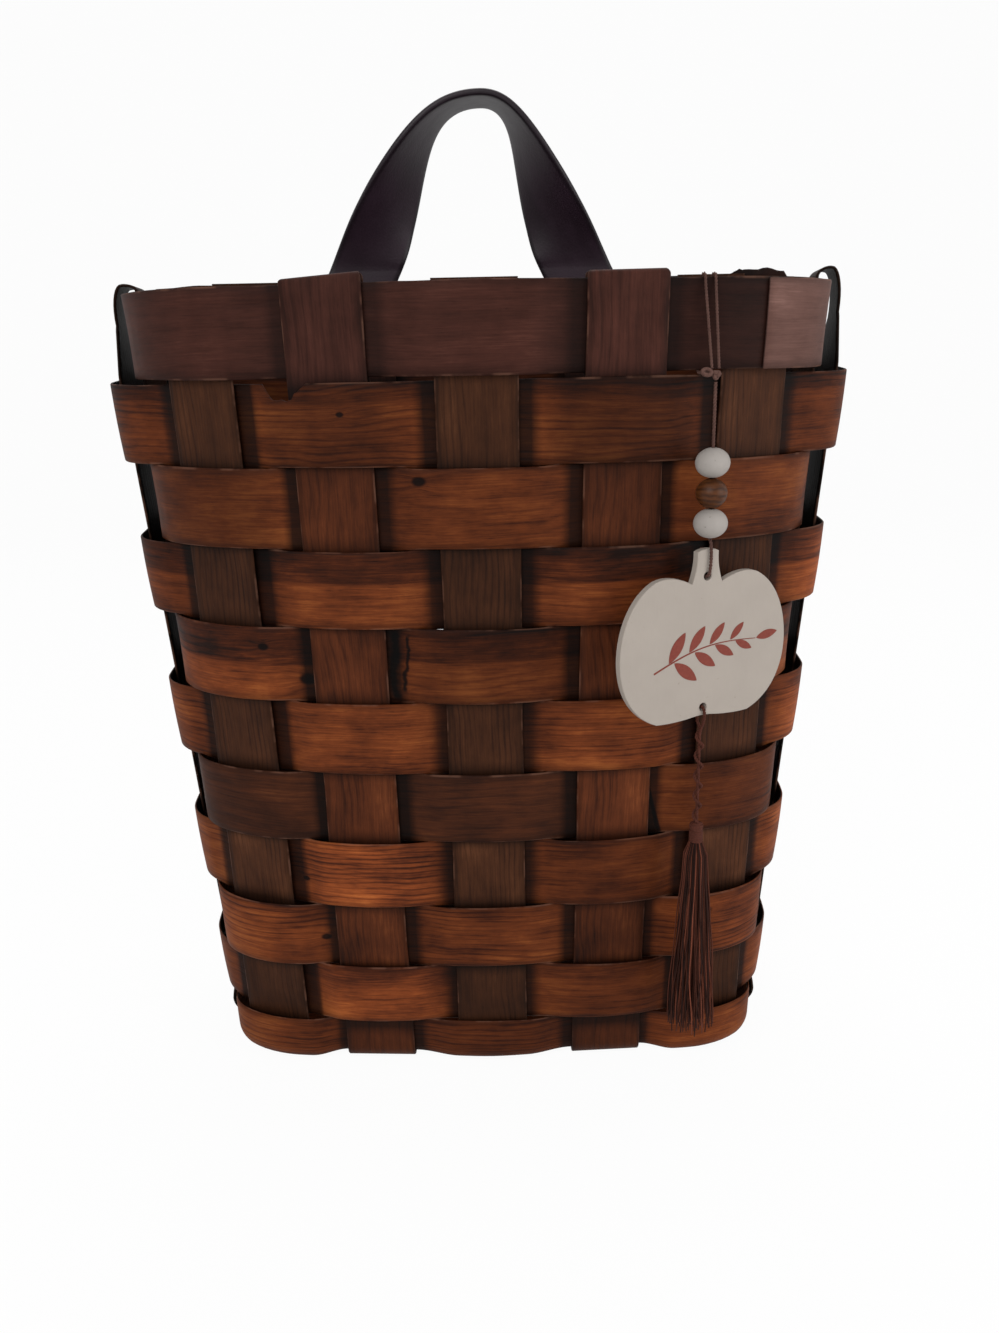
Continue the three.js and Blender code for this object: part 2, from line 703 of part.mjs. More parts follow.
// A point beside the rim band's straight facets: u along the wall, at a level, v out from it.
const bandPlaces = (level) => [...spanPlaces(level, 1), uprightPlace(level, 2)];
function bandPoint(u, level, v) {
  const top = bandPlaces(rimTop);
  const place = charmPlace + u;
  const k = top.findIndex((s, n) => s <= place && top[n + 1] > place);
  const share = (place - top[k]) / (top[k + 1] - top[k]);
  const plan = planAt(level);
  const [a, b] = bandPlaces(level).slice(k, k + 2).map((s) => {
    const offset = weaverOffset(1, level, 1, s);
    const [x, y] = plan.at(s);
    const [nx, ny] = plan.normal(s);
    return vec(x + nx * offset, y + ny * offset, heightAt(level, y));
  });
  return a.lerp(b, share).addScaledVector(charmOut, v);
}
const strandSeat = weaverThickness / 2 + seatGap + strandDiameter / 2 + 0.55;
const knotZ = rimBottom - knotDrop;
const knot = charmPoint(0, charmStandOff, knotZ);
const knotReach = knotRadius + seatGap;

// One turn of the cord round the rim band, from the front of the knot to its back.
function charmTurn(side) {
  const slit = rimBottom - rimSlit / 2;
  const at = (u, level, v) => bandPoint(side * u, level, v);
  const lift = vec(0, 0, strandDiameter / 2 + seatGap + 0.4);
  const towards = (u, v, z) =>
    charmPoint(side * u, v, z).sub(knot).setLength(knotReach + strandDiameter * 0.15).add(knot);
  const front = towards(1.9, charmStandOff - 0.6, knotZ + 3);
  const back = towards(2.4, 0, slit);
  const outer = at(strandSpread, rimTop, strandSeat);
  const inner = at(strandSpread, rimTop, -strandSeat);
  const crown = at(strandSpread, rimTop, 0).add(lift);
  const middle = at(strandSpread * 0.6, rimBottom + 8, strandSeat);
  return cord(
    [
      front,
      middle.clone().lerp(front, 0.35).addScaledVector(charmOut, 0.9),
      middle,
      at(strandSpread * 0.9, rimBottom + rimBandWidth / 2, strandSeat),
      at(strandSpread, rimTop - 3, strandSeat),
      outer.clone().lerp(crown, 0.5).addScaledVector(charmOut, 0.3).add(vec(0, 0, 0.2)),
      crown,
      inner.clone().lerp(crown, 0.5).addScaledVector(charmOut, -0.3).add(vec(0, 0, 0.2)),
      at(strandSpread, rimTop - 3, -strandSeat),
      at(strandSpread * 0.9, rimBottom + 12, -strandSeat),
      at(strandSpread * 0.75, rimBottom + 2.4, -strandSeat),
      at(strandSpread * 0.7, slit + 0.1, -strandSeat * 0.6),
      at(strandSpread * 0.6, slit, 0),
      at(strandSpread * 0.5, slit, strandSeat),
      back,
    ],
    strandDiameter,
    32,
  );
}
const sphere = new THREE.SphereGeometry(1, 12, 8);
const knotGeometry = sphere.clone().scale(knotRadius, knotRadius * 0.9, knotRadius);

// Beads, threaded on the cord.
const beadPitch = beadHeight + seatGap;
const firstBeadZ = knotZ - knotToBead - beadHeight / 2;
function bead(diameter) {
  const profile = [];
  const steps = 7;
  const start = Math.asin(beadBore / diameter);
  for (let k = 0; k <= steps; k++) {
    const a = mix(start, Math.PI - start, k / steps);
    const z = (-beadHeight / 2) * (Math.cos(a) / Math.cos(start));
    profile.push(new THREE.Vector2((diameter / 2) * Math.sin(a), z));
  }
  profile.push(profile[0].clone());
  return new THREE.LatheGeometry(profile, 18);
}

// The tag: a squat pumpkin outline with a stem, x to the right and y up from the stem hole.
const stemTopZ = firstBeadZ - 2 * beadPitch - beadHeight / 2 - beadToTag;
const stemHoleZ = stemTopZ - stemHoleDrop;
const lobeTopY = stemHoleDrop - stemHeight;
const lobeBottomY = lobeTopY - tagHeight;
const bottomHoleY = lobeBottomY + bottomHoleRise;
function tagOutline() {
  const half = tagWidth / 2;
  const stem = stemWidth / 2;
  const middleY = lobeTopY - tagHeight * 0.52;
  const shoulder = lobeTopY - tagHeight * 0.055;
  const upper = lobeTopY - tagHeight * 0.11;
  const brow = middleY + tagHeight * 0.2;
  const jaw = middleY - tagHeight * 0.21;
  const lower = lobeBottomY + tagHeight * 0.083;
  const dip = lobeBottomY + tagHeight * 0.01;
  const crest = lobeTopY + tagHeight * 0.01;
  const temple = lobeTopY - tagHeight * 0.02;
  const notch = bottomHoleY - tagHoleRadius - 2.4;
  const shape = new THREE.Shape();
  shape.moveTo(-stem * 0.8, stemHoleDrop - 1.5);
  shape.quadraticCurveTo(0, stemHoleDrop + 1.2, stem * 0.8, stemHoleDrop - 1.5);
  shape.quadraticCurveTo(stem * 0.75, lobeTopY + 4, stem * 1.15, shoulder);
  shape.bezierCurveTo(half * 0.36, crest, half * 0.52, crest, half * 0.62, temple);
  shape.bezierCurveTo(half * 0.88, upper, half, brow, half, middleY);
  shape.bezierCurveTo(half, jaw, half * 0.85, lower, half * 0.56, dip);
  shape.bezierCurveTo(half * 0.4, lobeBottomY, half * 0.22, dip, half * 0.12, notch);
  shape.quadraticCurveTo(0, notch + 0.8, -half * 0.12, notch);
  shape.bezierCurveTo(-half * 0.22, dip, -half * 0.4, lobeBottomY, -half * 0.56, dip);
  shape.bezierCurveTo(-half * 0.85, lower, -half, jaw, -half, middleY);
  shape.bezierCurveTo(-half, brow, -half * 0.88, upper, -half * 0.62, temple);
  shape.bezierCurveTo(-half * 0.52, crest, -half * 0.36, crest, -stem * 1.15, shoulder);
  shape.quadraticCurveTo(-stem * 0.75, lobeTopY + 4, -stem * 0.8, stemHoleDrop - 1.5);
  return shape;
}
function tag() {
  const depth = tagThickness - 2 * tagBevel;
  const geometry = new THREE.ExtrudeGeometry(tagOutline(), {
    depth,
    bevelThickness: tagBevel,
    bevelSize: tagBevel,
    bevelOffset: -tagBevel,
    bevelSegments: 1,
    curveSegments: 5,
  });
  geometry.translate(0, 0, -depth / 2);
  const hole = (y) => {
    const cutter = new THREE.CylinderGeometry(tagHoleRadius, tagHoleRadius, 2 * tagThickness, 12);
    return cutter.rotateX(Math.PI / 2).translate(0, y, 0);
  };
  return drill(geometry, [hole(0), hole(bottomHoleY)]);
}

// The tag's frame: x along the tag, y up, z towards the viewer.
const yaw = tagYaw * degrees;
const tagX = vec(Math.cos(yaw), Math.sin(yaw), 0);
const tagFacing = vec(Math.sin(yaw), -Math.cos(yaw), 0);
const stemHole = vec(knot.x, knot.y, stemHoleZ).addScaledVector(tagFacing, -tagSetBack);
const tagPoint = (x, y, z) =>
  stemHole.clone().addScaledVector(tagX, x).addScaledVector(up, y).addScaledVector(tagFacing, z);
const tagFrame = new THREE.Matrix4().makeBasis(tagX, up, tagFacing).setPosition(stemHole);
const cordFront = tagThickness / 2 + seatGap + cordDiameter / 2;

// The charm's cord: straight down through the beads, in at the stem hole from the front
// and up again behind the tag.
function charmCord() {
  const top = knot.z - knotReach;
  const beadFoot = stemTopZ + beadToTag;
  const straight = [0, 0.2, 0.4, 0.6, 0.8, 1].map((t) => vec(knot.x, knot.y, mix(top, beadFoot, t)));
  return cord(
    [
      ...straight,
      tagPoint(0.1, stemHoleDrop + 2.6, cordFront),
      tagPoint(0.6, stemHoleDrop - 3.2, cordFront),
      tagPoint(0.3, 4.5, cordFront + 0.1),
      tagPoint(0.1, 1.1, cordFront - 0.5),
      tagPoint(0, 0, 1.3),
      tagPoint(0, 0, -1.3),
      tagPoint(-0.1, 1.1, -cordFront + 0.5),
      tagPoint(-0.3, 4.5, -cordFront - 0.1),
      tagPoint(-0.4, stemHoleDrop - 3.2, -cordFront),
      tagPoint(-0.5, stemHoleDrop - 0.4, -cordFront * 0.95),
    ],
    cordDiameter,
    36,
  );
}

// The tassel's cord: from behind the tag through the bottom hole and down the front.
const bottomHole = tagPoint(0, bottomHoleY, 0);
const tasselTop = bottomHole.z - tasselCordLength;
function tasselCord() {
  const hole = (z, y, x = 0) => tagPoint(x, bottomHoleY + y, z);
  const below = (t) => vec(bottomHole.x, bottomHole.y, mix(bottomHole.z - 14, tasselTop + seatGap, t));
  return cord(
    [
      hole(-cordFront + 0.3, -5.6),
      hole(-cordFront, -3.2),
      hole(-cordFront + 0.5, -1),
      hole(-1.3, 0),
      hole(1.3, 0),
      hole(cordFront - 0.5, -1),
      hole(cordFront, -3.4),
      hole(cordFront * 0.8, -8),
      hole(cordFront * 0.25, -11.5),
      below(0),
      below(0.25),
      below(0.5),
      below(0.75),
      below(1),
    ],
    cordDiameter,
    30,
  );
}

function tasselHead() {
  const r = tasselHeadRadius;
  const l = tasselHeadLength;
  const outline = [
    [0, 0],
    [r * 0.55, -0.2],
    [r * 0.95, -l * 0.12],
    [r * 0.8, -l * 0.3],
    [r, -l * 0.42],
    [r, -l * 0.78],
    [r * 0.85, -l * 0.9],
    [r * 0.9, -l],
    [0, -l],
  ];
  return new THREE.LatheGeometry(
    outline.map(([x, y]) => new THREE.Vector2(x, y)).reverse(),
    16,
  );
}

// The skirt of threads as one fluted, slightly flared body.
function tasselSkirt() {
  const rings = [];
  const steps = 5;
  for (let k = 0; k <= steps; k++) {
    const t = k / steps;
    const radius = mix(tasselSkirtTop, tasselSkirtBottom, t ** 0.8);
    const ring = [];
    for (let j = 0; j < 2 * tasselFlutes; j++) {
      const a = (Math.PI * j) / tasselFlutes;
      const r = radius * (j % 2 === 0 ? 1 : 0.86);
      ring.push(vec(r * Math.cos(a), r * Math.sin(a), -tasselSkirtLength * t));
    }
    rings.push(ring);
  }
  return loft(rings);
}

// Finishes
const finish = (color, roughness, metalness = 0) =>
  new THREE.MeshStandardMaterial({ color, roughness, metalness });
const finishes = {
  darkStake: finish(0x3b2a1d, 0.62),
  redStake: finish(0x5d3018, 0.58),
  sideStake: finish(0x1d1512, 0.6),
  weaver: finish(0x7a4219, 0.5),
  darkWeaver: finish(0x4a3018, 0.55),
  rimBand: finish(0x46261a, 0.52),
  filler: finish(0x5c3a20, 0.65),
  leather: finish(0x1f1718, 0.45),
  rivet: finish(0x8a6a3c, 0.35, 0.9),
  cord: finish(0x4a2a1e, 0.8),
  whitePaint: finish(0xd9d6d0, 0.55),
  brownBead: finish(0x4b2a14, 0.45),
  tassel: finish(0x6a2e1c, 0.85),
};

// Assembly
const basket = new THREE.Group();
const charm = new THREE.Group();
const strap = new THREE.Group();
function add(group, name, geometry, material) {
  const mesh = new THREE.Mesh(geometry, material);
  mesh.name = name;
  group.add(mesh);
  return mesh;
}

const holes = rivetPlaces.map(rivetHole);
crossStakes.forEach(({ geometry }, n) => {
  const folded = isFolded(crossUprights[n][0] + uprightCount);
  const made = folded ? drill(geometry, holes) : geometry;
  add(basket, `stake_${n + 1}`, made, folded ? finishes.redStake : finishes.darkStake);
});
const sides = sideStake();
add(basket, "side_stake", sides.geometry, finishes.sideStake);
const fillerGap = 1;
const frontFillerY = sides.y - halfStake - fillerGap - fillerFrontWidth / 2;
const backFillerY = sides.y + halfStake + fillerGap + fillerBackWidth / 2;
const frontFiller = fillerSplint(frontFillerY, fillerFrontWidth, fillerInset, fillerSlant);
const backFiller = fillerSplint(backFillerY, fillerBackWidth, fillerInset, 0);
add(basket, "base_filler_front", frontFiller, finishes.filler);
add(basket, "base_filler_back", backFiller, finishes.filler);

const rimHoop = hoop(1, straightEdges(rimTop, rimBottom), weaverThickness, 2, 1, 0);
add(basket, "rim_band", drill(rimHoop, holes), finishes.rimBand);
const lastRow = weaverRows + 2;
for (let row = 2; row <= lastRow; row++) {
  const top = rowTop(row);
  const turned = [0, 20, 40].map((angle) => ({ level: bendLevel, angle }));
  const bent = [{ level: bottomRowTop - rowGap, angle: 0 }, ...turned];
  const edges = row === lastRow ? bent : straightEdges(top, top - weaverWidth);
  const lapUpright = row % 2 === 0 ? 5 : 4;
  const lapFrom = lapStartAt(top, lapUpright);
  const made = hoop(row, edges, weaverThickness, lapUpright, -1, lapFrom);
  add(basket, `weaver_${row}`, made, row === 7 ? finishes.darkWeaver : finishes.weaver);
}
// A weaver's lap starts beside the stake before the one that it passes inside.
function lapStartAt(level, upright) {
  return uprightPlace(level, upright + 1) - uprightPlace(level, upright) - lapLength / 2;
}

strap.position.set(strapOffset, strapY, hingeZ);
strap.rotation.x = strapLean * degrees;
add(strap, "strap_arch", strapArch(), finishes.leather);
[-1, 1].forEach((side, n) => {
  const name = side < 0 ? "strap_end_left" : "strap_end_right";
  add(basket, name, drill(strapEnd(side), holes), finishes.leather);
  [0, 1].forEach((m) => {
    const place = rivetPlaces[2 * n + m];
    const mesh = add(basket, `rivet_${2 * n + m + 1}`, rivet(), finishes.rivet);
    mesh.position.set(place.x, 0, place.z);
  });
});

add(charm, "charm_loop_left", charmTurn(-1), finishes.cord);
add(charm, "charm_loop_right", charmTurn(1), finishes.cord);
add(charm, "charm_knot", knotGeometry, finishes.cord).position.copy(knot);
add(charm, "charm_cord", charmCord(), finishes.cord);
const beads = [
  ["bead_top", beadDiameter, finishes.whitePaint],
  ["bead_middle", middleBeadDiameter, finishes.brownBead],
  ["bead_bottom", beadDiameter, finishes.whitePaint],
];
beads.forEach(([name, diameter, material], n) => {
  const mesh = add(charm, name, bead(diameter), material);
  mesh.position.set(knot.x, knot.y, firstBeadZ - n * beadPitch);
  mesh.rotation.x = Math.PI / 2;
});
add(charm, "tag", tag(), finishes.whitePaint).applyMatrix4(tagFrame);
add(charm, "tassel_cord", tasselCord(), finishes.cord);
const head = add(charm, "tassel_head", tasselHead(), finishes.tassel);
head.position.set(bottomHole.x, bottomHole.y, tasselTop);
head.rotation.x = Math.PI / 2;
const skirt = add(charm, "tassel_skirt", tasselSkirt(), finishes.tassel);
skirt.position.set(bottomHole.x, bottomHole.y, tasselTop - tasselHeadLength - seatGap);

// The origin is under the middle of the basket itself, without the charm.
const whole = new THREE.Group();
whole.add(basket, strap, charm);
whole.updateMatrixWorld(true);
const box = new THREE.Box3().setFromObject(basket);
whole.position.set(-(box.min.x + box.max.x) / 2, -(box.min.y + box.max.y) / 2, 0);

// Where the pieces turn, printed in the part's own frame.
const shown = (v) => v.toArray().map((n) => n.toFixed(3)).join(" ");
const placed = (v) => shown(v.clone().add(whole.position));
console.log(`rim ${rimTop.toFixed(2)}, back rim ${backRim.toFixed(2)}, base bend ${bendLevel.toFixed(2)}`);
console.log(`strap hinge ${placed(vec(strapOffset, strapY, hingeZ))}`);
console.log(`knot ${placed(knot)}, out ${shown(charmOut)}, along ${shown(charmAlong)}`);
console.log(`stem hole ${placed(stemHole)}, bottom hole ${placed(bottomHole)}, facing ${shown(tagFacing)}`);

export default whole;
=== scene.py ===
# A wall basket plain woven from wide splints, with a leather strap and a hanging charm.
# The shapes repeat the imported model's own formulas, in millimetres, and are set down in metres.
import math
from functools import reduce
from types import SimpleNamespace as Sizes
import bmesh
import bpy
import numpy as np
from mathutils import Matrix, Vector


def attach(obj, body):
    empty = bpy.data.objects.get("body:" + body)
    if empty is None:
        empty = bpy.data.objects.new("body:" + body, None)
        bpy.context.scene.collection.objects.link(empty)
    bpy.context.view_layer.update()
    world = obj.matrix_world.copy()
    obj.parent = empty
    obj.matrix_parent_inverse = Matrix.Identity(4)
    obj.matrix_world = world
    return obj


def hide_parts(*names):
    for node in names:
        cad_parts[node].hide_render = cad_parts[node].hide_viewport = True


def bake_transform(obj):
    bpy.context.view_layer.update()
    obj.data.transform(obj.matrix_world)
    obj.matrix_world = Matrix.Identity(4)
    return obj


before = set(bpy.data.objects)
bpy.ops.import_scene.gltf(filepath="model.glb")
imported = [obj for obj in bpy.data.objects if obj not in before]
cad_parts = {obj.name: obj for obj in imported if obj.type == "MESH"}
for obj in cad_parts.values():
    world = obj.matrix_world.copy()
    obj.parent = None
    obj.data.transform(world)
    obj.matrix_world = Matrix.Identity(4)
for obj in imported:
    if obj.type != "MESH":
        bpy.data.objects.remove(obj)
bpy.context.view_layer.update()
mm = 0.001
shift = np.array([0.0, -72.174, 0.0])  # the plan's zero is the front of the rim, the part's is its middle

# The camera, fitted to the picture.
viewpoint = dict(
    place=(0.0077, -0.5502, 0.3792), tilt=16.21, roll=-1.15, focalPixels=1040, frame=(999, 1333), sensor=36,
    clip=(0.01, 30),
)


def addCamera(spec):  # looks along +Y, tipped down by tilt
    data = bpy.data.cameras.new("camera")
    data.sensor_width = spec["sensor"]
    data.lens = spec["sensor"] * spec["focalPixels"] / max(spec["frame"])
    data.clip_start, data.clip_end = spec["clip"]
    camera = bpy.data.objects.new("camera", data)
    bpy.context.scene.collection.objects.link(camera)
    turn = Matrix.Rotation(math.radians(90 - spec["tilt"]), 4, "X")
    roll = Matrix.Rotation(math.radians(spec["roll"]), 4, "Z")
    camera.matrix_world = Matrix.Translation(spec["place"]) @ turn @ roll
    bpy.context.scene.camera = camera


addCamera(viewpoint)
print("camera placed")


class Wire:  # a socket whose operators add Math nodes; one without a socket starts new nodes
    def __init__(self, tree, socket=None):
        self.tree, self.socket = tree, socket

    def add(self, kind, settings=None, inputs=None, output=0):  # any node: settings first, then values or links
        node = self.tree.nodes.new("ShaderNode" + kind)
        for key, value in (settings or {}).items():
            if key == "stops":
                while len(node.color_ramp.elements) < len(value):
                    node.color_ramp.elements.new(0.5)
                for stop, (place, colour) in zip(node.color_ramp.elements, value):
                    stop.position, stop.color = place, (*colour, 1)
            else:
                setattr(node, key, value)
        for key, value in (inputs or {}).items():
            if isinstance(value, Wire):
                self.tree.links.new(value.socket, node.inputs[key])
            else:
                node.inputs[key].default_value = value
        return Wire(self.tree, node.outputs[output])

    def math(self, operation, *values, clamp=False):
        return self.add("Math", {"operation": operation, "use_clamp": clamp}, dict(enumerate(values)))

    def __add__(self, other):
        return self.math("ADD", self, other)

    def __sub__(self, other):
        return self.math("SUBTRACT", self, other)

    def __rsub__(self, other):
        return self.math("SUBTRACT", other, self)

    def __mul__(self, other):
        return self.math("MULTIPLY", self, other)

    def __truediv__(self, other):
        return self.math("DIVIDE", self, other)

    def __pow__(self, other):
        return self.math("POWER", self, other)

    __radd__, __rmul__ = __add__, __mul__

    def sat(self):
        return self.math("ADD", self, 0.0, clamp=True)

    def smooth(self, low, high):  # 0 below low, 1 above high
        return self.add("MapRange", {"interpolation_type": "SMOOTHSTEP"}, {0: self, 1: low, 2: high})

    def blend(self, first, second):  # colours, by self
        ends = [(*colour, 1) if isinstance(colour, tuple) else colour for colour in (first, second)]
        return self.add("Mix", {"data_type": "RGBA"}, {0: self, 6: ends[0], 7: ends[1]}, 2)

    def ramp(self, stops):
        return self.add("ValToRGB", {"stops": stops}, {0: self})

    def scaled(self, level):  # a colour made brighter or darker
        return self.add("VectorMath", {"operation": "SCALE"}, {0: self, 3: level})

    def noise(self, x, y, z=0.0, detail=3.0, rough=0.55):
        place = self.add("CombineXYZ", None, {0: x, 1: y, 2: z})
        return self.add("TexNoise", None, {"Vector": place, "Scale": 1.0, "Detail": detail, "Roughness": rough})

    def point(self):  # where on the piece, in metres
        return self.add("TexCoord", output=3)

    def across(self):  # its UV map: metres along the strip, metres across it
        uv = self.add("TexCoord", output=2)
        return [self.add("SeparateXYZ", None, {0: uv}, k) for k in (0, 1)]

    def attribute(self, name):
        return self.add("Attribute", {"attribute_name": name}, None, 2)


def finish(name, roughness=0.5, specular=0.3, **fixed):  # a material, its wire and its shader
    material = bpy.data.materials.new(name)
    material.use_nodes = True
    tree = material.node_tree
    shader = next(n for n in tree.nodes if n.type == "BSDF_PRINCIPLED")
    shader.inputs["Roughness"].default_value = roughness
    shader.inputs["Specular IOR Level"].default_value = specular
    for key, value in fixed.items():
        shader.inputs[key.replace("_", " ")].default_value = value
    return material, Wire(tree), shader


def plug(wire, shader, bump=None, strength=0.4, distance=0.0004, **sockets):  # links wires to the shader
    for key, value in sockets.items():
        wire.tree.links.new(value.socket, shader.inputs[key.replace("_", " ")])
    if bump:
        bumped = wire.add("Bump", None, {"Height": bump, "Strength": strength, "Distance": distance})
        wire.tree.links.new(bumped.socket, shader.inputs["Normal"])


# Noise in the wood: scale along and across the splint, step of the seed, detail and roughness.
woodNoise = dict(
    fibre=(52, 1250, 0, 4, 0.7), streak=(15, 215, 3, 3, 0.6), patch=(30, 48, 9, 4, 0.62),
    pore=(170, 2300, 13, 2, 0.55),
)
woodShares = dict(  # how much each one shades the wood; turn is the growth lines' full turn in a millimetre
    fibre=0.75, streak=0.5, patch=2.0, cloud=0.7, middle=0.57, line=0.6, pore=0.12, turn=6283.0,
    frayed=0.30, frayedColour=(0.21, 0.10, 0.065),
)


# Wood of one splint: fibres and growth lines run along it, and swerve round its knots. The mesh
# gives tone (brightness, partly painted light and shade) and dip (how far it has gone under a neighbour, where stain
# gathers and shade is painted).
# In millimetres: knots (place, side, radius), cracks (place, lean, low, high, width).
def splintFinish(
    name, stops, seed, knots=(), cracks=(), heart=None, lapped=None, crown=None, lineSpacing=3.4, lineDepth=0.3,
    blotch=0.5, dipDepth=0.86, edgeStainAndShade=0.4, gain=1.0,
):
    material, wire, shader = finish(name, specular=0.07)
    part = Sizes(**woodShares)
    along, across = wire.across()
    wander = wire.noise(along * 9, across * 22, seed + 11, detail=1) - 0.5
    grain, marksAndShadow = across + wander * 0.007, []
    for place, side, radius in knots:
        du, dv = (along - place * mm) / (radius * 1.5 * mm), (across - side * mm) / (radius * mm)
        far = (du * du + dv * dv) ** 0.5
        grain = grain + dv * wire.math("EXPONENT", far * far * -0.3) * (radius * 0.9 * mm)
        marksAndShadow.append((1.25 - far + wander * 0.6).smooth(0.0, 0.6))
    fibre, streak, patch, pore = (
        wire.noise(along * u, grain * v, seed + step, detail=detail, rough=rough)
        for u, v, step, detail, rough in woodNoise.values()
    )
    pores = pore.smooth(0.60, 0.72)
    cloud = wire.noise(along * 13, across * 20, seed + 5, detail=2)
    for place, lean, low, high, width in cracks:  # a ragged split across the splint
        away = wire.math("ABSOLUTE", along - place * mm - across * lean + (patch - 0.5) * 0.012)
        split = (1 - away.smooth(width * 0.2 * mm, width * mm)) * across.smooth(low * mm, (low + 3) * mm)
        marksAndShadow.append(split * (1 - across.smooth((high - 3) * mm, high * mm)))
    lines = wire.math("SINE", grain * (part.turn / lineSpacing) + cloud * 26.0) * 0.5 + 0.5
    lines = (lines ** 4.0) * wire.noise(along * 6, grain * 60, seed + 7, detail=2).smooth(0.38, 0.62)
    shade = (fibre - 0.5) * part.fibre + (streak - 0.5) * part.streak + (patch - 0.5) * (part.patch * blotch)
    shade = shade + (cloud - 0.5) * part.cloud + part.middle - lines * lineDepth * part.line - pores * part.pore
    if heart:  # darker above a wavering line across the splint
        height, amount, soft = heart
        wavering = across + wander * 0.012 + (patch - 0.5) * 0.006
        shade = shade - wavering.smooth((height - soft) * mm, (height + soft) * mm) * amount
    colour = shade.sat().ramp(stops)
    if lapped:  # past a slanting line the splint is of another colour
        place, lean, soft, others = lapped
        past = along - place * mm + across * lean
        colour = past.smooth(-soft * mm, soft * mm).blend(colour, shade.sat().ramp(others))
        if soft < 1:
            # a painted shadow along the lap's slanting edge
            marksAndShadow.append((1 - wire.math("ABSOLUTE", past + 0.0012).smooth(0.0005, 0.0018)) * 0.9)
    if crown:  # and above a height it takes other colours, a painted sheen of the light from above
        height, soft, others = crown
        up = wire.add("SeparateXYZ", None, {0: wire.point()}, 2) - height * mm
        colour = up.smooth(-soft * mm, soft * mm).blend(colour, shade.sat().ramp(others))
    dip, tone = wire.attribute("dip"), wire.attribute("tone")
    rim = wire.math("ABSOLUTE", across)
    # painted shade where the splint goes under a neighbour, together with stain gathered in the recess
    stainAndPaintedShade = (dip + (patch - 0.5) * dip * 0.5).sat() ** 1.4 * dipDepth
    # darker towards both long edges: stain and painted shade of the crevices between rows
    level = tone * gain * (1 - stainAndPaintedShade) * (1 - rim.smooth(0.0135, 0.0192) * edgeStainAndShade)
    height = fibre * 0.5 + streak * 0.5 - lines * 0.3 - pores * 0.2
    if marksAndShadow:
        blackMarksAndShadow = reduce(lambda one, two: wire.math("MAXIMUM", one, two), marksAndShadow)
        level, height = level * (1 - blackMarksAndShadow * 0.9), height - blackMarksAndShadow * 0.6
    torn = wire.noise(along * 60, 0.0, seed + 17, detail=3).smooth(0.45, 0.6)
    frayed = rim.smooth(0.0180, 0.0188) * torn * (1 - dip).sat()
    colour = (frayed * part.frayed).blend(colour.scaled(level), part.frayedColour)
    plug(wire, shader, height, 0.5, 0.0005, Base_Color=colour, Roughness=0.52 + fibre * 0.16)
    return material


def leatherFinish():  # pebbled and creased, darker at its cut edges
    material, wire, shader = finish("strapLeather", specular=0.2)
    along, across = wire.across()
    pebble = wire.add("TexVoronoi", {"feature": "SMOOTH_F1"}, {"Vector": wire.point(), "Scale": 900.0})
    crease = wire.noise(along * 60, across * 120, 4.0, detail=5, rough=0.65)
    cloud = wire.noise(along * 22, across * 40, 1.0, detail=3)
    colour = (cloud * 1.4 - 0.2 + (crease - 0.5) * 0.5).sat().blend((0.0085, 0.0040, 0.0066), (0.026, 0.0130, 0.0215))
    edge = wire.math("ABSOLUTE", across).smooth(0.0145, 0.0168)
    colour = (edge * 0.6).blend(colour, (0.005, 0.0035, 0.0045))
    height = (1 - pebble) * 0.4 + crease * 0.6
    plug(wire, shader, height, 0.35, 0.0004, Base_Color=colour, Roughness=0.40 + crease * 0.2 + edge * -0.1)
    return material


def threadFinish(name, light, dark, scale=1400.0, toned=False):  # fluffy fibre, paler where it stands up
    material, wire, shader = finish(name, specular=0.15)
    fluff = wire.add("TexNoise", None, {"Vector": wire.point(), "Scale": scale, "Detail": 4.0})
    cloud = wire.add("TexNoise", None, {"Vector": wire.point(), "Scale": 60.0, "Detail": 2.0})
    colour = (fluff * 0.9 + cloud * 0.6 - 0.25).sat().blend(dark, light)
    if toned:  # each thread's own brightness, from the mesh
        colour = colour.scaled(wire.attribute("tone"))
    plug(wire, shader, fluff, 0.5, 0.0002, Base_Color=colour, Roughness=0.75 + fluff * 0.2)
    return material


def paintFinish(name, paint, under, wear):  # matt paint over turned wood, thin at its high spots
    material, wire, shader = finish(name, specular=0.25)
    x, y, z = (wire.add("SeparateXYZ", None, {0: wire.point()}, k) for k in (0, 1, 2))
    brush = wire.noise(x * 900, z * 160, y * 900, detail=4, rough=0.6)
    spots = wire.noise(x * 420, z * 420, y * 420, detail=5, rough=0.7)
    chalk = wire.noise(x * 60, z * 60, y * 60, detail=3)
    colour = (chalk * 0.9 + brush * 0.4 - 0.15).sat().blend(tuple(part * 0.86 for part in paint), paint)
    colour = spots.smooth(wear, wear + 0.07).blend(colour, under)
    plug(wire, shader, brush * 0.6 + spots * 0.3, 0.3, 0.0003, Base_Color=colour, Roughness=0.5 + brush * 0.2)
    return material


def beadWoodFinish():  # end grain rings across a stained bead
    material, wire, shader = finish("beadWood", specular=0.16)
    x, y, z = (wire.add("SeparateXYZ", None, {0: wire.point()}, k) for k in (0, 1, 2))
    fibre = wire.noise(x * 160, z * 1100, y * 160, detail=5, rough=0.65)
    rings = wire.math("SINE", z * 2600 + wire.noise(x * 90, z * 90, y * 90, detail=2) * 12.0) * 0.5 + 0.5
    colour = (fibre * 0.9 - rings * 0.3 + 0.1).sat().blend((0.010, 0.0028, 0.0010), (0.125, 0.040, 0.0105))
    plug(wire, shader, fibre, 0.3, 0.0003, Base_Color=colour, Roughness=0.3 + fibre * 0.2)
    return material


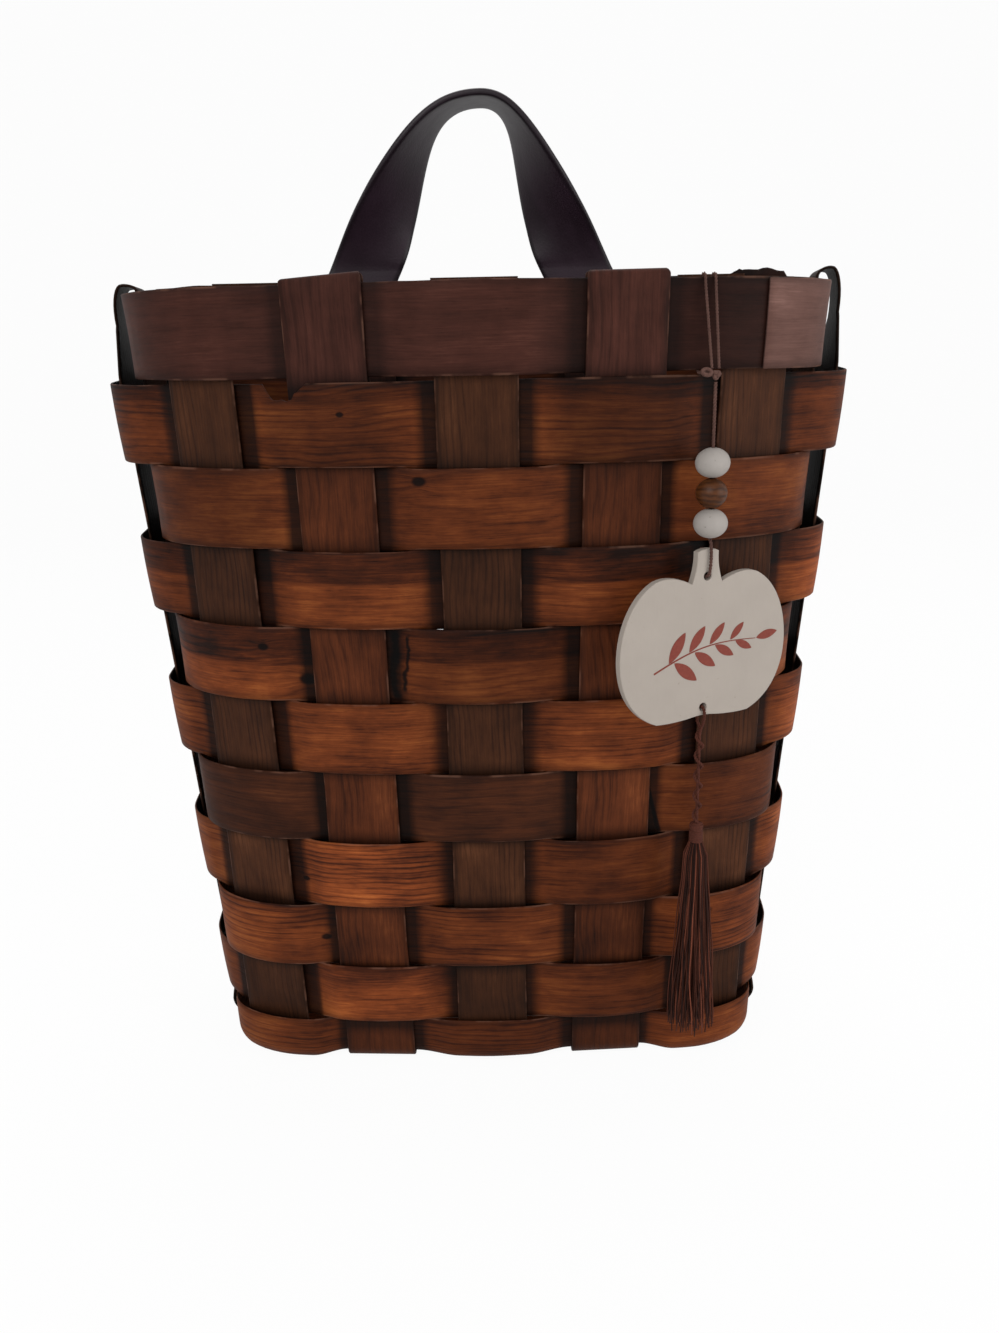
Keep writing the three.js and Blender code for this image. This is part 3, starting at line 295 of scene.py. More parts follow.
def brassFinish():  # tarnished in spots
    material, wire, shader = finish("agedBrass", Metallic=1.0)
    tarnish = wire.add("TexNoise", None, {"Vector": wire.point(), "Scale": 500.0, "Detail": 4.0})
    colour = tarnish.smooth(0.35, 0.65).blend((0.16, 0.11, 0.05), (0.34, 0.25, 0.12))
    plug(wire, shader, tarnish, 0.2, 0.0001, Base_Color=colour, Roughness=0.32 + tarnish * 0.25)
    return material


def rustPaintFinish():  # mottled
    material, wire, shader = finish("rustPaint", roughness=0.6, specular=0.2)
    mottle = wire.add("TexNoise", None, {"Vector": wire.point(), "Scale": 700.0})
    plug(wire, shader, Base_Color=mottle.blend((0.13, 0.022, 0.014), (0.21, 0.045, 0.03)))
    return material


# A mesh from points in millimetres, and what the piece rides on, stands for and is finished as.
def setDown(name, points, faces, material, body, replaced=(), slotName=None, uv=None, smooth=True, **attributes):
    mesh = bpy.data.meshes.new(name)
    mesh.from_pydata((points * mm).tolist(), [], faces)
    if uv is not None:
        order = np.empty(len(mesh.loops), np.int32)
        mesh.loops.foreach_get("vertex_index", order)
        mesh.uv_layers.new(name="along").data.foreach_set("uv", (uv[order] * mm).astype(np.float32).ravel())
    for key, values in attributes.items():
        mesh.attributes.new(key, "FLOAT", "POINT").data.foreach_set("value", values.astype(np.float32))
    mesh.polygons.foreach_set("use_smooth", np.full(len(mesh.polygons), smooth))
    mesh.materials.append(material)
    mesh.update()
    piece = bpy.data.objects.new(name, mesh)
    bpy.context.scene.collection.objects.link(piece)
    if body:
        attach(piece, body)
    if replaced:
        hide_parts(*replaced)
    return piece


# Faces of a tube of n rings of m corners: quads between rings, and flat caps of quads when
# the ring's second half runs back under its first.
def ringFaces(n, m, caps="none", closed=False):
    i, j = np.meshgrid(np.arange(n if closed else n - 1), np.arange(m), indexing="ij")
    nextRing, nextCorner = (i + 1) % n, (j + 1) % m
    quads = np.stack([i * m + j, nextRing * m + j, nextRing * m + nextCorner, i * m + nextCorner], -1).reshape(-1, 4)
    faces = quads.tolist()
    for start, turned in (((0, False), ((n - 1) * m, True)) if caps != "none" else ()):
        if caps == "fan":
            capFaces = [list(range(start, start + m))]
        else:
            capFaces = [[start + k, start + k + 1, start + m - 2 - k, start + m - 1 - k] for k in range(m // 2 - 1)]
        faces += [corners[::-1] if turned else corners for corners in capFaces]
    return faces


# Six times the volume of what the rings enclose, by the sign of which they are turned out.
def turnedOut(points, faces):
    quads = np.array([f for f in faces if len(f) == 4])
    a, b, c, d = (points[quads[:, k]] for k in range(4))
    volume = (np.cross(a, b) * c).sum() + (np.cross(a, c) * d).sum()
    return [f[::-1] for f in faces] if volume < 0 else faces


def runAlong(points):  # running length at each point of a line
    return np.concatenate([[0], np.cumsum(np.linalg.norm(np.diff(points, axis=0), axis=1))])


# A flat piece from its outer and inner rows of points, each row running the piece's whole length.
def shellPiece(name, outer, inner, uvs, material, body, replaced, slotName, **attributes):
    ring = np.stack(outer + inner[::-1], 1)
    points = ring.reshape(-1, 3) + shift
    faces = turnedOut(points, ringFaces(ring.shape[0], ring.shape[1], "strip"))
    uv = np.stack(uvs + uvs[::-1], 1).reshape(-1, 2)
    return setDown(name, points, faces, material, body, replaced, slotName, uv, **attributes)


def facingOf(ahead, half):  # the direction square to a strip, from its run and its half width
    square = np.cross(ahead, half)
    return square / np.linalg.norm(square, axis=1)[:, None]


# Centripetal spline through points, as n even steps: each point of it lies between two points, in
# the share that the knots' times give, and they in turn between those of the step before.
def spline(points, n):
    p = np.array(points, float)
    p = np.vstack([2 * p[0] - p[1], p, 2 * p[-1] - p[-2]])
    knots = np.concatenate([[0], np.cumsum(np.maximum(np.linalg.norm(np.diff(p, axis=0), axis=1), 1e-6) ** 0.5)])
    u = np.linspace(knots[1], knots[-2] - 1e-9, 40 * len(p))
    k = np.clip(np.searchsorted(knots, u, side="right") - 1, 1, len(p) - 3)
    t0, t1, t2, t3 = (knots[k + d][:, None] for d in (-1, 0, 1, 2))
    q0, q1, q2, q3 = (p[k + d] for d in (-1, 0, 1, 2))
    v = u[:, None]
    between = lambda one, two, start, end: ((end - v) * one + (v - start) * two) / (end - start)
    a1, a2, a3 = between(q0, q1, t0, t1), between(q1, q2, t1, t2), between(q2, q3, t2, t3)
    b1, b2 = between(a1, a2, t0, t2), between(a2, a3, t1, t3)
    curve = between(b1, b2, t1, t2)
    run = runAlong(curve)
    even = np.linspace(0, run[-1], n)
    return np.stack([np.interp(even, run, curve[:, axis]) for axis in range(3)], 1), run[-1]


# Two directions across a path at each of its points, carried along it without twist.
def sideways(path):
    ahead = np.gradient(path, axis=0)
    ahead /= np.linalg.norm(ahead, axis=1)[:, None]
    first = np.cross(ahead[0], [0.3, 0.9, 0.1])
    sides = [first / np.linalg.norm(first)]
    for direction in ahead[1:]:
        side = sides[-1] - direction * (sides[-1] @ direction)
        sides.append(side / np.linalg.norm(side))
    return np.array(sides), np.cross(ahead, np.array(sides))


# A round tube along a path: each point plus radius times (cos a, sin a) on its side directions.
def tubePoints(path, radius, sides):
    one, two = sideways(path)
    a = np.linspace(0, 2 * np.pi, sides, endpoint=False)[None, :, None]
    r = np.broadcast_to(radius, (len(path),))[:, None, None]
    return (path[:, None] + r * (np.cos(a) * one[:, None] + np.sin(a) * two[:, None])).reshape(-1, 3)


def joinTubes(tubes):  # [(points, rings, sides)] as one point array and its faces
    faces, start = [], 0
    for points, rings, sides in tubes:
        faces += [[corner + start for corner in face] for face in turnedOut(points, ringFaces(rings, sides, "fan"))]
        start += len(points)
    return np.vstack([t[0] for t in tubes]), faces


plies = dict(turnsPerMm=0.33, apart=0.235, radius=0.265, sides=7)  # apart and radius are shares of the cord's diameter


# A cord of two plies twisted round each other: each ply's centre turns round the path.
def pliedCord(name, points, diameter, steps, material, body, replaced):
    path, length = spline(points, steps)
    one, two = sideways(path)
    run = np.linspace(0, length, steps)
    tubes = []
    for ply in (0, np.pi):
        a = (2 * np.pi * plies["turnsPerMm"] * run + ply)[:, None]
        centre = path + plies["apart"] * diameter * (np.cos(a) * one + np.sin(a) * two)
        tubes.append((tubePoints(centre, plies["radius"] * diameter, plies["sides"]), steps, plies["sides"]))
    made, faces = joinTubes(tubes)
    piece = setDown(name, made + shift, faces, material, body, replaced, "cord")
    return piece, ((path + shift) * mm).tolist(), length * mm


# The basket's sizes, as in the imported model, in millimetres.
basket = dict(
    seatGap=0.3, stakeWidth=38, stakeThickness=1.3, weaverWidth=38, weaverThickness=1.2, rowGap=0.6, rows=9,
    bottomRow=13, rimBandWidth=40, rimSlit=2.1, frontBow=1.0, sideBow=3, lapLength=46, rimHalf=178.5, baseHalf=148.5,
    rimPower=2, basePower=3.2, rimDepth=80, baseDepth=45, frontLean=25, backPlane=145, corner=30, backRise=10, bend=10,
    innerRim=68, innerBase=63, outerRim=131, outerBase=121, outerBack=108, foldRise=1, tail=62, cutRise=0.8,
    standOffRim=10, standOffBase=4, sideTail=200,
)
b = Sizes(**basket)
halfStake = b.stakeWidth / 2
crossing = (b.stakeThickness + b.weaverThickness) / 2 + b.seatGap
stakeCrossing = b.stakeThickness + b.seatGap
baseLevel = stakeCrossing + b.stakeThickness / 2
bendLevel = baseLevel + b.bend
pitch = b.weaverWidth + b.rowGap
bottomTop = bendLevel + b.bottomRow
rimBottom = bottomTop + b.rows * pitch + b.rimSlit
rimTop = rimBottom + b.rimBandWidth
rowTop = lambda row: rimBottom - b.rimSlit - (row - 2) * pitch
mix = lambda first, second, t: first + (second - first) * t
plans = {}
frontSteps, cornerSteps, sideSteps = 91, 25, 13  # points of a plan's front quarter, corner and side
uprights = 12  # counted round from the front's middle: 3 and 9 stand at the sides
isSide = lambda i: i % 6 == 3


# Half a superellipse at the front, straight sides, round back corners and a flat back, as points
# with their running length; where the uprights cross it; and how far it falls away under each.
# The front is w r sin a, d r cos a with r = (sin^p a + cos^p a)^(-1/p), and p squarer at the base.
def planAt(level):
    key = round(float(level), 3)
    if key in plans:
        return plans[key]
    x = min(1.0, max(0.0, level / rimTop))
    half = mix(b.baseHalf, b.rimHalf, x)
    front = b.frontLean * (1 - x)
    widest = front + mix(b.baseDepth, b.rimDepth, x)
    r = min(b.corner, 0.45 * (b.backPlane - widest), 0.5 * half)
    a, c = np.linspace(0, np.pi / 2, frontSteps), np.linspace(0, np.pi / 2, cornerSteps)[1:]
    power = mix(b.rimPower, b.basePower, (1 - x) ** 2)
    reach = (np.sin(a) ** power + np.abs(np.cos(a)) ** power) ** (-1 / power)
    side = np.linspace(widest, b.backPlane - r, sideSteps)[1:]
    px = np.concatenate([half * reach * np.sin(a), np.full(len(side), half), half - r + r * np.cos(c), [0]])
    py = [widest - (widest - front) * reach * np.cos(a), side, b.backPlane - r + r * np.sin(c), [b.backPlane]]
    py = np.concatenate(py)
    px, py = np.concatenate([px, -px[-2::-1]]), np.concatenate([py, py[-2::-1]])
    run = np.concatenate([[0], np.cumsum(np.hypot(np.diff(px), np.diff(py)))])
    plan = dict(x=px, y=py, run=run, total=run[-1], front=front, level=level)
    frontX = [mix(b.innerBase, b.innerRim, x), mix(b.outerBase, b.outerRim, x)]
    backX = [mix(b.outerBack, b.outerRim, x), frontX[0]]
    atX = [np.interp(v, px[:frontSteps], run[:frontSteps]) for v in frontX]
    middle, sideStart, sideEnd = run[-1] / 2, frontSteps - 1, frontSteps + sideSteps - 2
    places = [0, *atX, (run[sideStart] + run[sideEnd]) / 2, middle - backX[0], middle - backX[1], middle]
    places = np.array(places + [run[-1] - p for p in places[-2::-1]])
    plan["places"] = places
    here, out = at(plan, places), normal(plan, places)
    falls = [((here - at(plan, places + d)) * out).sum(1) for d in (-halfStake, halfStake)]
    plan["falls"] = np.maximum(np.maximum(*falls), 0)
    plans[key] = plan
    return plan


def at(plan, s):  # the plan's point at a running length, round and round
    s = np.mod(s, plan["total"])
    return np.stack([np.interp(s, plan["run"], plan["x"]), np.interp(s, plan["run"], plan["y"])], -1)


def normal(plan, s):  # outwards: square to the chord 2 mm either side
    d = at(plan, s + 2) - at(plan, s - 2)
    return np.stack([d[..., 1], -d[..., 0]], -1) / np.linalg.norm(d, axis=-1)[..., None]


def heightAt(level, y, plan):  # the back stands higher than the front
    return level * (1 + b.backRise / rimTop * np.clip((y - plan["front"]) / b.backPlane, 0, 1) ** 3)


def spans(plan):  # the open run between each upright and the next
    return np.diff(plan["places"]) - b.stakeWidth


# Places along a hoop: upright number, millimetres past it while level, share of the open span.
def hoopPlaces(first, count, extra=()):
    rows = []
    for i in range(first, first + count):
        wide = i % uprights in (2, 3, 8, 9)
        flat = np.linspace(0, halfStake, 5)
        share = np.linspace(0, 1, 19 if wide else 12)[1:-1]
        more = [d for up, d in extra if up == i % uprights and 0 < d < halfStake]
        back = [halfStake + d for up, d in extra if up == (i + 1) % uprights and -halfStake < d < 0]
        rows += [(i, d, 0.0) for d in sorted([*flat, *more])] + [(i, halfStake, t) for t in share]
        rows += [(i, halfStake + d, 1.0) for d in sorted([*flat[:-1], *back])]
    return np.array(rows)


def alongHoop(plan, where):  # those places as running lengths of a plan
    i = where[:, 0].astype(int)
    start = plan["places"][i % uprights] + (i // uprights) * plan["total"]
    return start + where[:, 1] + where[:, 2] * spans(plan)[i % uprights]


def standOff(level, i):  # how far the side stakes stand off the plan
    return np.where(isSide(i), mix(b.standOffBase, b.standOffRim, np.clip(level / rimTop, 0, 1)), 0.0)


# A weaver's distance from the plan: level over each stake, eased by a half cosine between
# them, and bowed by a cosine where it passes outside.
def weaverOffset(row, plan, where, bowScale):
    i = where[:, 0].astype(int)
    turned = np.mod(np.stack([i, i + 1]), uprights)
    opened = spans(plan)[turned[0]]
    sign = np.where((np.stack([i, i + 1]) + row) % 2 == 1, 1, -1)
    reach = sign * (crossing + plan["falls"][turned] / 2) + np.where(sign > 0, standOff(plan["level"], turned), 0)
    offset = mix(reach[0], reach[1], (1 - np.cos(np.pi * where[:, 2])) / 2)
    past = where[:, 1] + where[:, 2] * opened
    total = b.stakeWidth + opened
    for k, away in enumerate((past, total - past)):
        bow = np.where(isSide(turned[k]), b.sideBow, b.frontBow * bowScale[turned[k]])
        bow = np.where((turned[k] >= 4) & (turned[k] <= 8), 0.0, bow)  # none against the wall
        near = np.clip(away / (total / 2), 0, 1)
        offset = offset + np.where(sign[k] > 0, bow, 0) * (1 + np.cos(np.pi * near)) / 2
    return offset


# How the splints are worked by hand, in millimetres: waves and raggedness of their edges, how far
# they cup and bow, how much wider they stand where tucked in, and how dark their insides are painted, as painted shade
# inside the basket.
handwork = dict(
    ripple=0.3, rippleTurns=2.3, ripples=(1, 2.7, 5.3), ragged=0.25, raggedRun=23, raggedWaves=(1, 2.3, 4.7), cup=0.35,
    bows=(-0.3, 1.2), tuck=1.0, lapRun=12, chipRun=0.9, hoopInside=0.55, stakeInside=0.6,
)
w = Sizes(**handwork)
sectionShares = np.array([0, 0.012, 0.1, 0.3, 0.5, 0.7, 0.9, 0.988, 1])
sectionBody = np.array([0.35, 1, 1, 1, 1, 1, 1, 1, 0.35])


# One hoop: at each place a flat section from its top edge to its bottom edge, outer side and
# inner side, turned round the base's bend by the angles given for the last row.
def hoopPiece(name, node, row, edges, lap, material, slotName, tones, seed, chips=()):
    rng = np.random.default_rng(seed)
    lapUpright, lapSide, lapFrom = lap
    chipPlaces = [(up, d) for up, start, end, out, depth in chips for d in np.linspace(start - 0.5, out + 0.5, 36)]
    where = hoopPlaces(lapUpright, uprights + 2, chipPlaces)
    top = planAt(edges[0][0])
    s = alongHoop(top, where)
    first = int(np.searchsorted(s, s[0] + lapFrom - 1e-6))
    last = int(np.searchsorted(s, s[first] + b.lapLength + top["total"] - 1e-6))
    lapEnd = s[last] - top["total"]
    where, s = where[first : last + 1], s[first : last + 1]
    i = where[:, 0].astype(int)
    lifted = lapSide * (b.weaverThickness + b.seatGap) * np.clip(1 - (s - lapEnd) / w.lapRun, 0, 1)
    bowScale = 1 + rng.uniform(*w.bows, uprights)
    reachHere = weaverOffset(row, top, where, bowScale)
    over = np.clip(reachHere / crossing, 0, 1)
    around = 2 * np.pi * w.rippleTurns * s / top["total"]
    waves = [
        sum(w.ripple / k * np.sin(k * around + rng.uniform(0, 6.28)) for k in w.ripples) * (0.25 + 0.75 * over)
        for _ in (0, 1)
    ]
    past = lambda n: s - alongHoop(top, np.stack([n, 0 * s, 0 * s], 1))
    for up, start, end, out, depth in chips:  # a piece broken out of the top edge, sloping back up on one side
        d = np.where(i % uprights == up, past(i), 1e9)
        d = np.where((i + 1) % uprights == up, past(i + 1), d)
        chipped = np.clip((d - start) / w.chipRun, 0, 1) * np.clip((out - d) / (out - end), 0, 1)
        waves[0] = waves[0] - depth * (1 + 0.07 * np.sin(2.1 * s) + 0.06 * np.sin(0.9 * s)) * chipped
    tuck = 0.0 if row == 1 else w.tuck * np.clip((0.5 - reachHere) / 1.9, 0, 1)
    waves = [waves[0] + tuck * (row > 2), waves[1] - tuck]
    cup = w.cup * np.sign(over - 0.5) * (over - 0.5) ** 2 * 4
    straight = len(edges) == 2
    shares = sectionShares if straight else np.linspace(0, 1, len(edges))
    outer, inner, uvs = [], [], []
    for k, share in enumerate(shares):
        level, angle = (mix(edges[0][0], edges[1][0], share), 0) if straight else edges[k]
        plan, turn = planAt(level), math.radians(angle)
        place = alongHoop(plan, where)
        middle, out = at(plan, place), normal(plan, place)
        offset = weaverOffset(row, plan, where, bowScale) + lifted + cup * (1 - (2 * share - 1) ** 2)
        body = sectionBody[k] if straight else 1 - 0.65 * (k in (0, len(edges) - 1))
        lift = waves[0] * (1 - share) ** 2 + waves[1] * share**2 if straight else waves[0] * max(0, 1 - 4 * share)
        for way, edgeRows in ((1, outer), (-1, inner)):
            reach = offset + way * body * b.weaverThickness / 2
            radius = b.bend + reach
            xy = middle + out * (reach - radius * (1 - math.cos(turn)))[:, None]
            z = bendLevel - radius * math.sin(turn) if angle else np.full(len(s), level)
            edgeRows.append(np.column_stack([xy, heightAt(z, xy[:, 1], plan) + lift]))
        uvs.append(np.stack([s, (0.5 - share) * b.weaverWidth + lift], 1))
    opened = spans(top)[i % uprights]
    share = np.clip((where[:, 1] + where[:, 2] * opened) / (b.stakeWidth + opened), 0, 1)
    ease = np.clip((share - 0.3) / 0.4, 0, 1)
    toneAt = np.array([tones.get(n, tones.get(n % uprights, 0.92)) for n in range(2 * uprights)])
    tone = mix(toneAt[i % len(toneAt)], toneAt[(i + 1) % len(toneAt)], ease * ease * (3 - 2 * ease))
    sides = {  # outer side, then inner side; dip darkens with stain and painted shade where the splint goes under, and the inner side's lower tone is painted shade inside the basket
        "dip": [np.clip((-0.7 - way * reachHere) / 0.8, 0, 1) for way in (1, -1)], "tone": [tone, tone * w.hoopInside],
    }
    spread = {key: np.repeat(np.stack(both, 1), len(shares), 1).ravel() for key, both in sides.items()}
    return shellPiece(name, outer, inner, uvs, material, "basket", (node,), slotName, **spread)


# Where an upright stands at a level, with its directions outwards and along the wall.
def stakeFrame(level, i, offset=0.0):
    plan = planAt(level)
    s = plan["places"][i % uprights]
    (x, y), (nx, ny) = at(plan, s), normal(plan, s)
    inset = offset - plan["falls"][i % uprights] / 2
    place = np.array([x + nx * inset, y + ny * inset, heightAt(level, y, plan)])
    return place, np.array([nx, ny, 0]), np.array([-ny, nx, 0])


# The folds over the rim: heights of the side stakes' loops, slants of two folds, how far a loop
# reaches down outside, how much a fold narrows, a loop's half width, turn and bow, and how the
# side stakes stand out at their feet.
fold = dict(
    heights={3: 4.6, 9: 2.6}, slants={11: 1.1, 1: 0.4}, drop=17, narrow=0.06, loopHalf=12.5, loopTurn=1.6,
    bowOut=0.5, bowIn=2.0, footHeight=34, footRun=20, footOut=4.0,
)
fd = Sizes(**fold)


def sideHalf(level, out, along):  # the side stake narrows and turns a little where it loops over the rim
    t = np.clip((level - rimBottom + 2) / 26, 0, 1)
    return along * mix(halfStake, fd.loopHalf, t) + out * fd.loopTurn * t * np.sign(along[1])


def stakeEnd(i):  # stations (middle, half width) from the tail's tip over the rim, or the cut end
    if i % 2 == 0:
        point, out, along = stakeFrame(rimTop, i)
        return [(point + [0, 0, b.cutRise], along * halfStake)]
    inner, outer = -2 * crossing - planAt(rimTop)["falls"][i % uprights], float(standOff(rimTop, i))
    tail = [(rimTop - b.tail, inner), (rimTop - 4, inner)]
    if isSide(i):
        tail = [(rimTop - b.sideTail, 0), (rowTop(3) + b.rowGap / 2, 0), (rimBottom, inner), (rimTop - 4, inner)]
    stations = []
    for level in np.linspace(tail[0][0], tail[-1][0], 50 if isSide(i) else 12):
        point, out, along = stakeFrame(level, i, np.interp(level, *zip(*tail)))
        stations.append((point, sideHalf(level, out, along) if isSide(i) else along * halfStake))
    point, out, along = stakeFrame(rimTop, i, (inner + outer) / 2)
    radius, crest, up = (outer - inner) / 2, fd.heights.get(i, (outer - inner) / 2), np.array([0, 0, 1])
    for a in np.linspace(np.pi, 0, 19):  # over the rim by a half turn
        bow = radius * np.cos(a) * out + crest * np.sin(a) * up
        half = along * halfStake * (1 - fd.narrow * np.sin(a) ** 3) + up * fd.slants.get(i, 0) * np.sin(a)
        if isSide(i):
            half = sideHalf(rimTop, out, along)
            if a < np.pi / 2:  # a long bow on the outside
                bow = bow + out * (fd.bowOut - fd.bowIn * (1 - np.sin(a)))
                bow[2] = crest - (crest + fd.drop) * (1 - np.sin(a))
        stations.append((point + [0, 0, b.foldRise] + bow, half))
    return stations


def stakeWall(i):  # down the wall from under the rim to the base's bend
    if not isSide(i):
        frames = (stakeFrame(v, i) for v in np.linspace(rimTop - 6, bendLevel, 62))
        return [(p, along * halfStake) for p, out, along in frames]
    levels = np.linspace(rimTop - fd.drop - 1, bendLevel, 90)
    foot = np.clip((fd.footHeight - levels) / fd.footRun, 0, 1) ** 2
    frames = (stakeFrame(v, i, float(standOff(v, i)) + fd.footOut * f) for v, f in zip(levels, foot))
    return [(p, sideHalf(v, out, along)) for v, (p, out, along) in zip(levels, frames)]


def baseBend(station, direction):  # a quarter turn from the wall to the base
    stations = []
    for a in np.linspace(0, np.pi / 2, 10)[1:]:
        point = station[0] + np.array(direction) * b.bend * (1 - math.cos(a))
        stations.append((np.array([point[0], point[1], bendLevel - b.bend * math.sin(a)]), station[1]))
    return stations


flipped = lambda stations: [(p, -h) for p, h in stations]


def crossStations(front, back):  # down the front, under the base and up the back, and its run below
    one = stakeEnd(front) + stakeWall(front)
    two = flipped(stakeEnd(back) + stakeWall(back))
    oneBend, twoBend = baseBend(one[-1], (0, 1, 0)), baseBend(two[-1], (0, -1, 0))
    start, end = oneBend[-1], twoBend[-1]
    under = []
    for t in np.linspace(0, 1, 22)[1:-1]:
        h = mix(start[1], end[1], t)
        under.append((mix(start[0], end[0], t), h * halfStake / np.linalg.norm(h)))
    return one + oneBend + under + twoBend[::-1] + two[::-1], (start, end)


# One splint along its stations: a flat section, its width on the half width, its faces square to it.
def stripPiece(name, node, stations, material, slotName, tones, seed, upright=True):
    rng = np.random.default_rng(seed)
    middle, half = (np.array([station[k] for station in stations]) for k in (0, 1))
    keep = np.concatenate([[True], np.linalg.norm(np.diff(middle, axis=0), axis=1) > 0.05])
    middle, half = middle[keep], half[keep]
    ahead = np.gradient(middle, axis=0)
    if not upright:  # a filler lies straight along the base
        ahead[:, 1] = 0
    square, run = facingOf(ahead, half), runAlong(middle)
    waves = [
        1 + sum(w.ragged / halfStake / k * np.sin(run * k / w.raggedRun + rng.uniform(0, 6.28)) for k in w.raggedWaves)
        for _ in (0, 1)
    ]
    outer, inner, uvs = [], [], []
    for share, body in zip(sectionShares, sectionBody):
        side = 1 - 2 * share
        place = middle + half * (side * np.minimum(waves[0 if side > 0 else 1], 1.0))[:, None]
        outer.append(place + square * (body * b.stakeThickness / 2))
        inner.append(place - square * (body * b.stakeThickness / 2))
        uvs.append(np.stack([run, side * np.linalg.norm(half, axis=1)], 1))
    # dip: painted shade on the upright where a weaver lies over it, fading out 6 mm past its edges, with stain there
    # too
    z, covered = middle[:, 2], np.zeros(len(run))
    for low, high in tones.get("under", ()):
        covered = np.maximum(covered, np.clip(1 - np.maximum(low - z, z - high) / 6, 0, 1))
    tone = tones.get("level", 1.0) * np.interp(z, *tones.get("heights", ((0,), (1,))))
    # the inner side's lower tone is painted shade inside the basket
    shade = [1, tones.get("inside", w.stakeInside)]
    if np.sum(square * (middle - middle.mean(0))) <= 0:
        shade = shade[::-1]
    shade = np.repeat(shade, len(sectionShares))
    return shellPiece(
        name, outer, inner, uvs, material, "basket", (node,), slotName,
        dip=np.repeat(covered, len(shade)), tone=np.outer(tone, shade).ravel(),
    )


def baseCrossings(y, halfWidth, runs):  # where each stake's run lies over a splint along X
    found = []
    for start, end in runs:
        reached = []
        for side in (-1, 1):
            a, c = start[0] + side * start[1], end[0] + side * end[1]
            reached += [mix(a[0], c[0], (y + d - a[1]) / (c[1] - a[1])) for d in (-halfWidth, halfWidth)]
        found.append((min(reached) - b.seatGap, max(reached) + b.seatGap))
    return found


def baseWeave(y, halfWidth, underFirst, runs):  # under one run and over the next
    corners = []
    for k, (left, right) in enumerate(baseCrossings(y, halfWidth, runs)):
        z = baseLevel + (-stakeCrossing if k % 2 == (0 if underFirst else 1) else stakeCrossing)
        corners += [(left, z), (right, z)]
    return corners


def steppedRun(corners, y, step=3.0):  # straight from corner to corner, in short steps
    xs, zs = [], []
    for (x0, z0), (x1, z1) in zip(corners, corners[1:]):
        n = max(2, int((x1 - x0) / step))
        t = np.linspace(0, 1, n, endpoint=False)
        xs += list(mix(x0, x1, t))
        zs += list(mix(z0, z1, t))
    xs.append(corners[-1][0])
    zs.append(corners[-1][1])
    return [np.array([x, y, z]) for x, z in zip(xs, zs)]


# Colours from dark to pale against the wood's shade, and what each splint shows.
warm = [
    (0.0, (0.0075, 0.0024, 0.0013)), (0.3, (0.040, 0.0092, 0.0030)),
    (0.62, (0.108, 0.0255, 0.0066)), (1.0, (0.215, 0.062, 0.0150)),
]
deep = [
    (0.0, (0.0070, 0.0026, 0.0016)), (0.35, (0.026, 0.0078, 0.0034)),
    (0.7, (0.057, 0.0160, 0.0058)), (1.0, (0.110, 0.034, 0.0110)),
]
olive = [
    (0.0, (0.0085, 0.0034, 0.0019)), (0.35, (0.025, 0.0086, 0.0038)),
    (0.7, (0.048, 0.0165, 0.0068)), (1.0, (0.086, 0.032, 0.0135)),
]
russet = [
    (0.0, (0.0085, 0.0027, 0.0014)), (0.35, (0.038, 0.0098, 0.0036)),
    (0.7, (0.080, 0.0205, 0.0068)), (1.0, (0.150, 0.043, 0.0135)),
]
plum = [
    (0.0, (0.010, 0.0033, 0.0022)), (0.35, (0.026, 0.0083, 0.0054)),
    (0.7, (0.048, 0.0155, 0.0104)), (1.0, (0.082, 0.029, 0.0195)),
]
taupe = [
    (0.0, (0.034, 0.015, 0.0115)), (0.35, (0.085, 0.041, 0.0325)),
    (0.7, (0.125, 0.063, 0.0510)), (1.0, (0.190, 0.102, 0.0840)),
]
frontOf = lambda row: float(planAt(rowTop(row))["total"])  # the middle of a hoop's front, along it
weaverLooks = {
    2: dict(lineSpacing=3.2, lineDepth=0.45, blotch=0.5, knots=[(-62, 5, 1.2)], heart=(11, 0.22, 2.5)),
    3: dict(lineSpacing=5.5, lineDepth=0.18, knots=[(-27.7, 13.0, 2.3), (77.6, 15.6, 1.9)]),
    4: dict(lineSpacing=4.6, lineDepth=0.22, heart=(2.5, 0.34, 1.6)),
    5: dict(
        lineSpacing=4.2, lineDepth=0.25, blotch=0.55, knots=[(-109.7, 9.2, 1.8), (-89, -8, 3.0)],
        heart=(1.5, 0.30, 1.8), cracks=[(-37.6, 0.16, -15, 17, 1.5), (-43.5, 0.1, -19, 19, 3.2)],
    ),
    6: dict(lineSpacing=2.9, lineDepth=0.4),
    7: dict(stops=deep, lineSpacing=4.4, lineDepth=0.25, lapped=(86.8, 0.27, 0.2, warm)),
    8: dict(lineSpacing=2.8, lineDepth=0.38, knots=[(-98.9, -5, 1.5)]),
    9: dict(
        lineSpacing=3.3, lineDepth=0.42, blotch=0.5, knots=[(-89.8, -2.4, 2.0)], cracks=[(116, 0.3, -19, 12, 3.0)],
    ),
    10: dict(lineSpacing=5.0, lineDepth=0.2, heart=(9, 0.15, 3)),
    11: dict(lineSpacing=3.8, lineDepth=0.3, blotch=0.45),
}
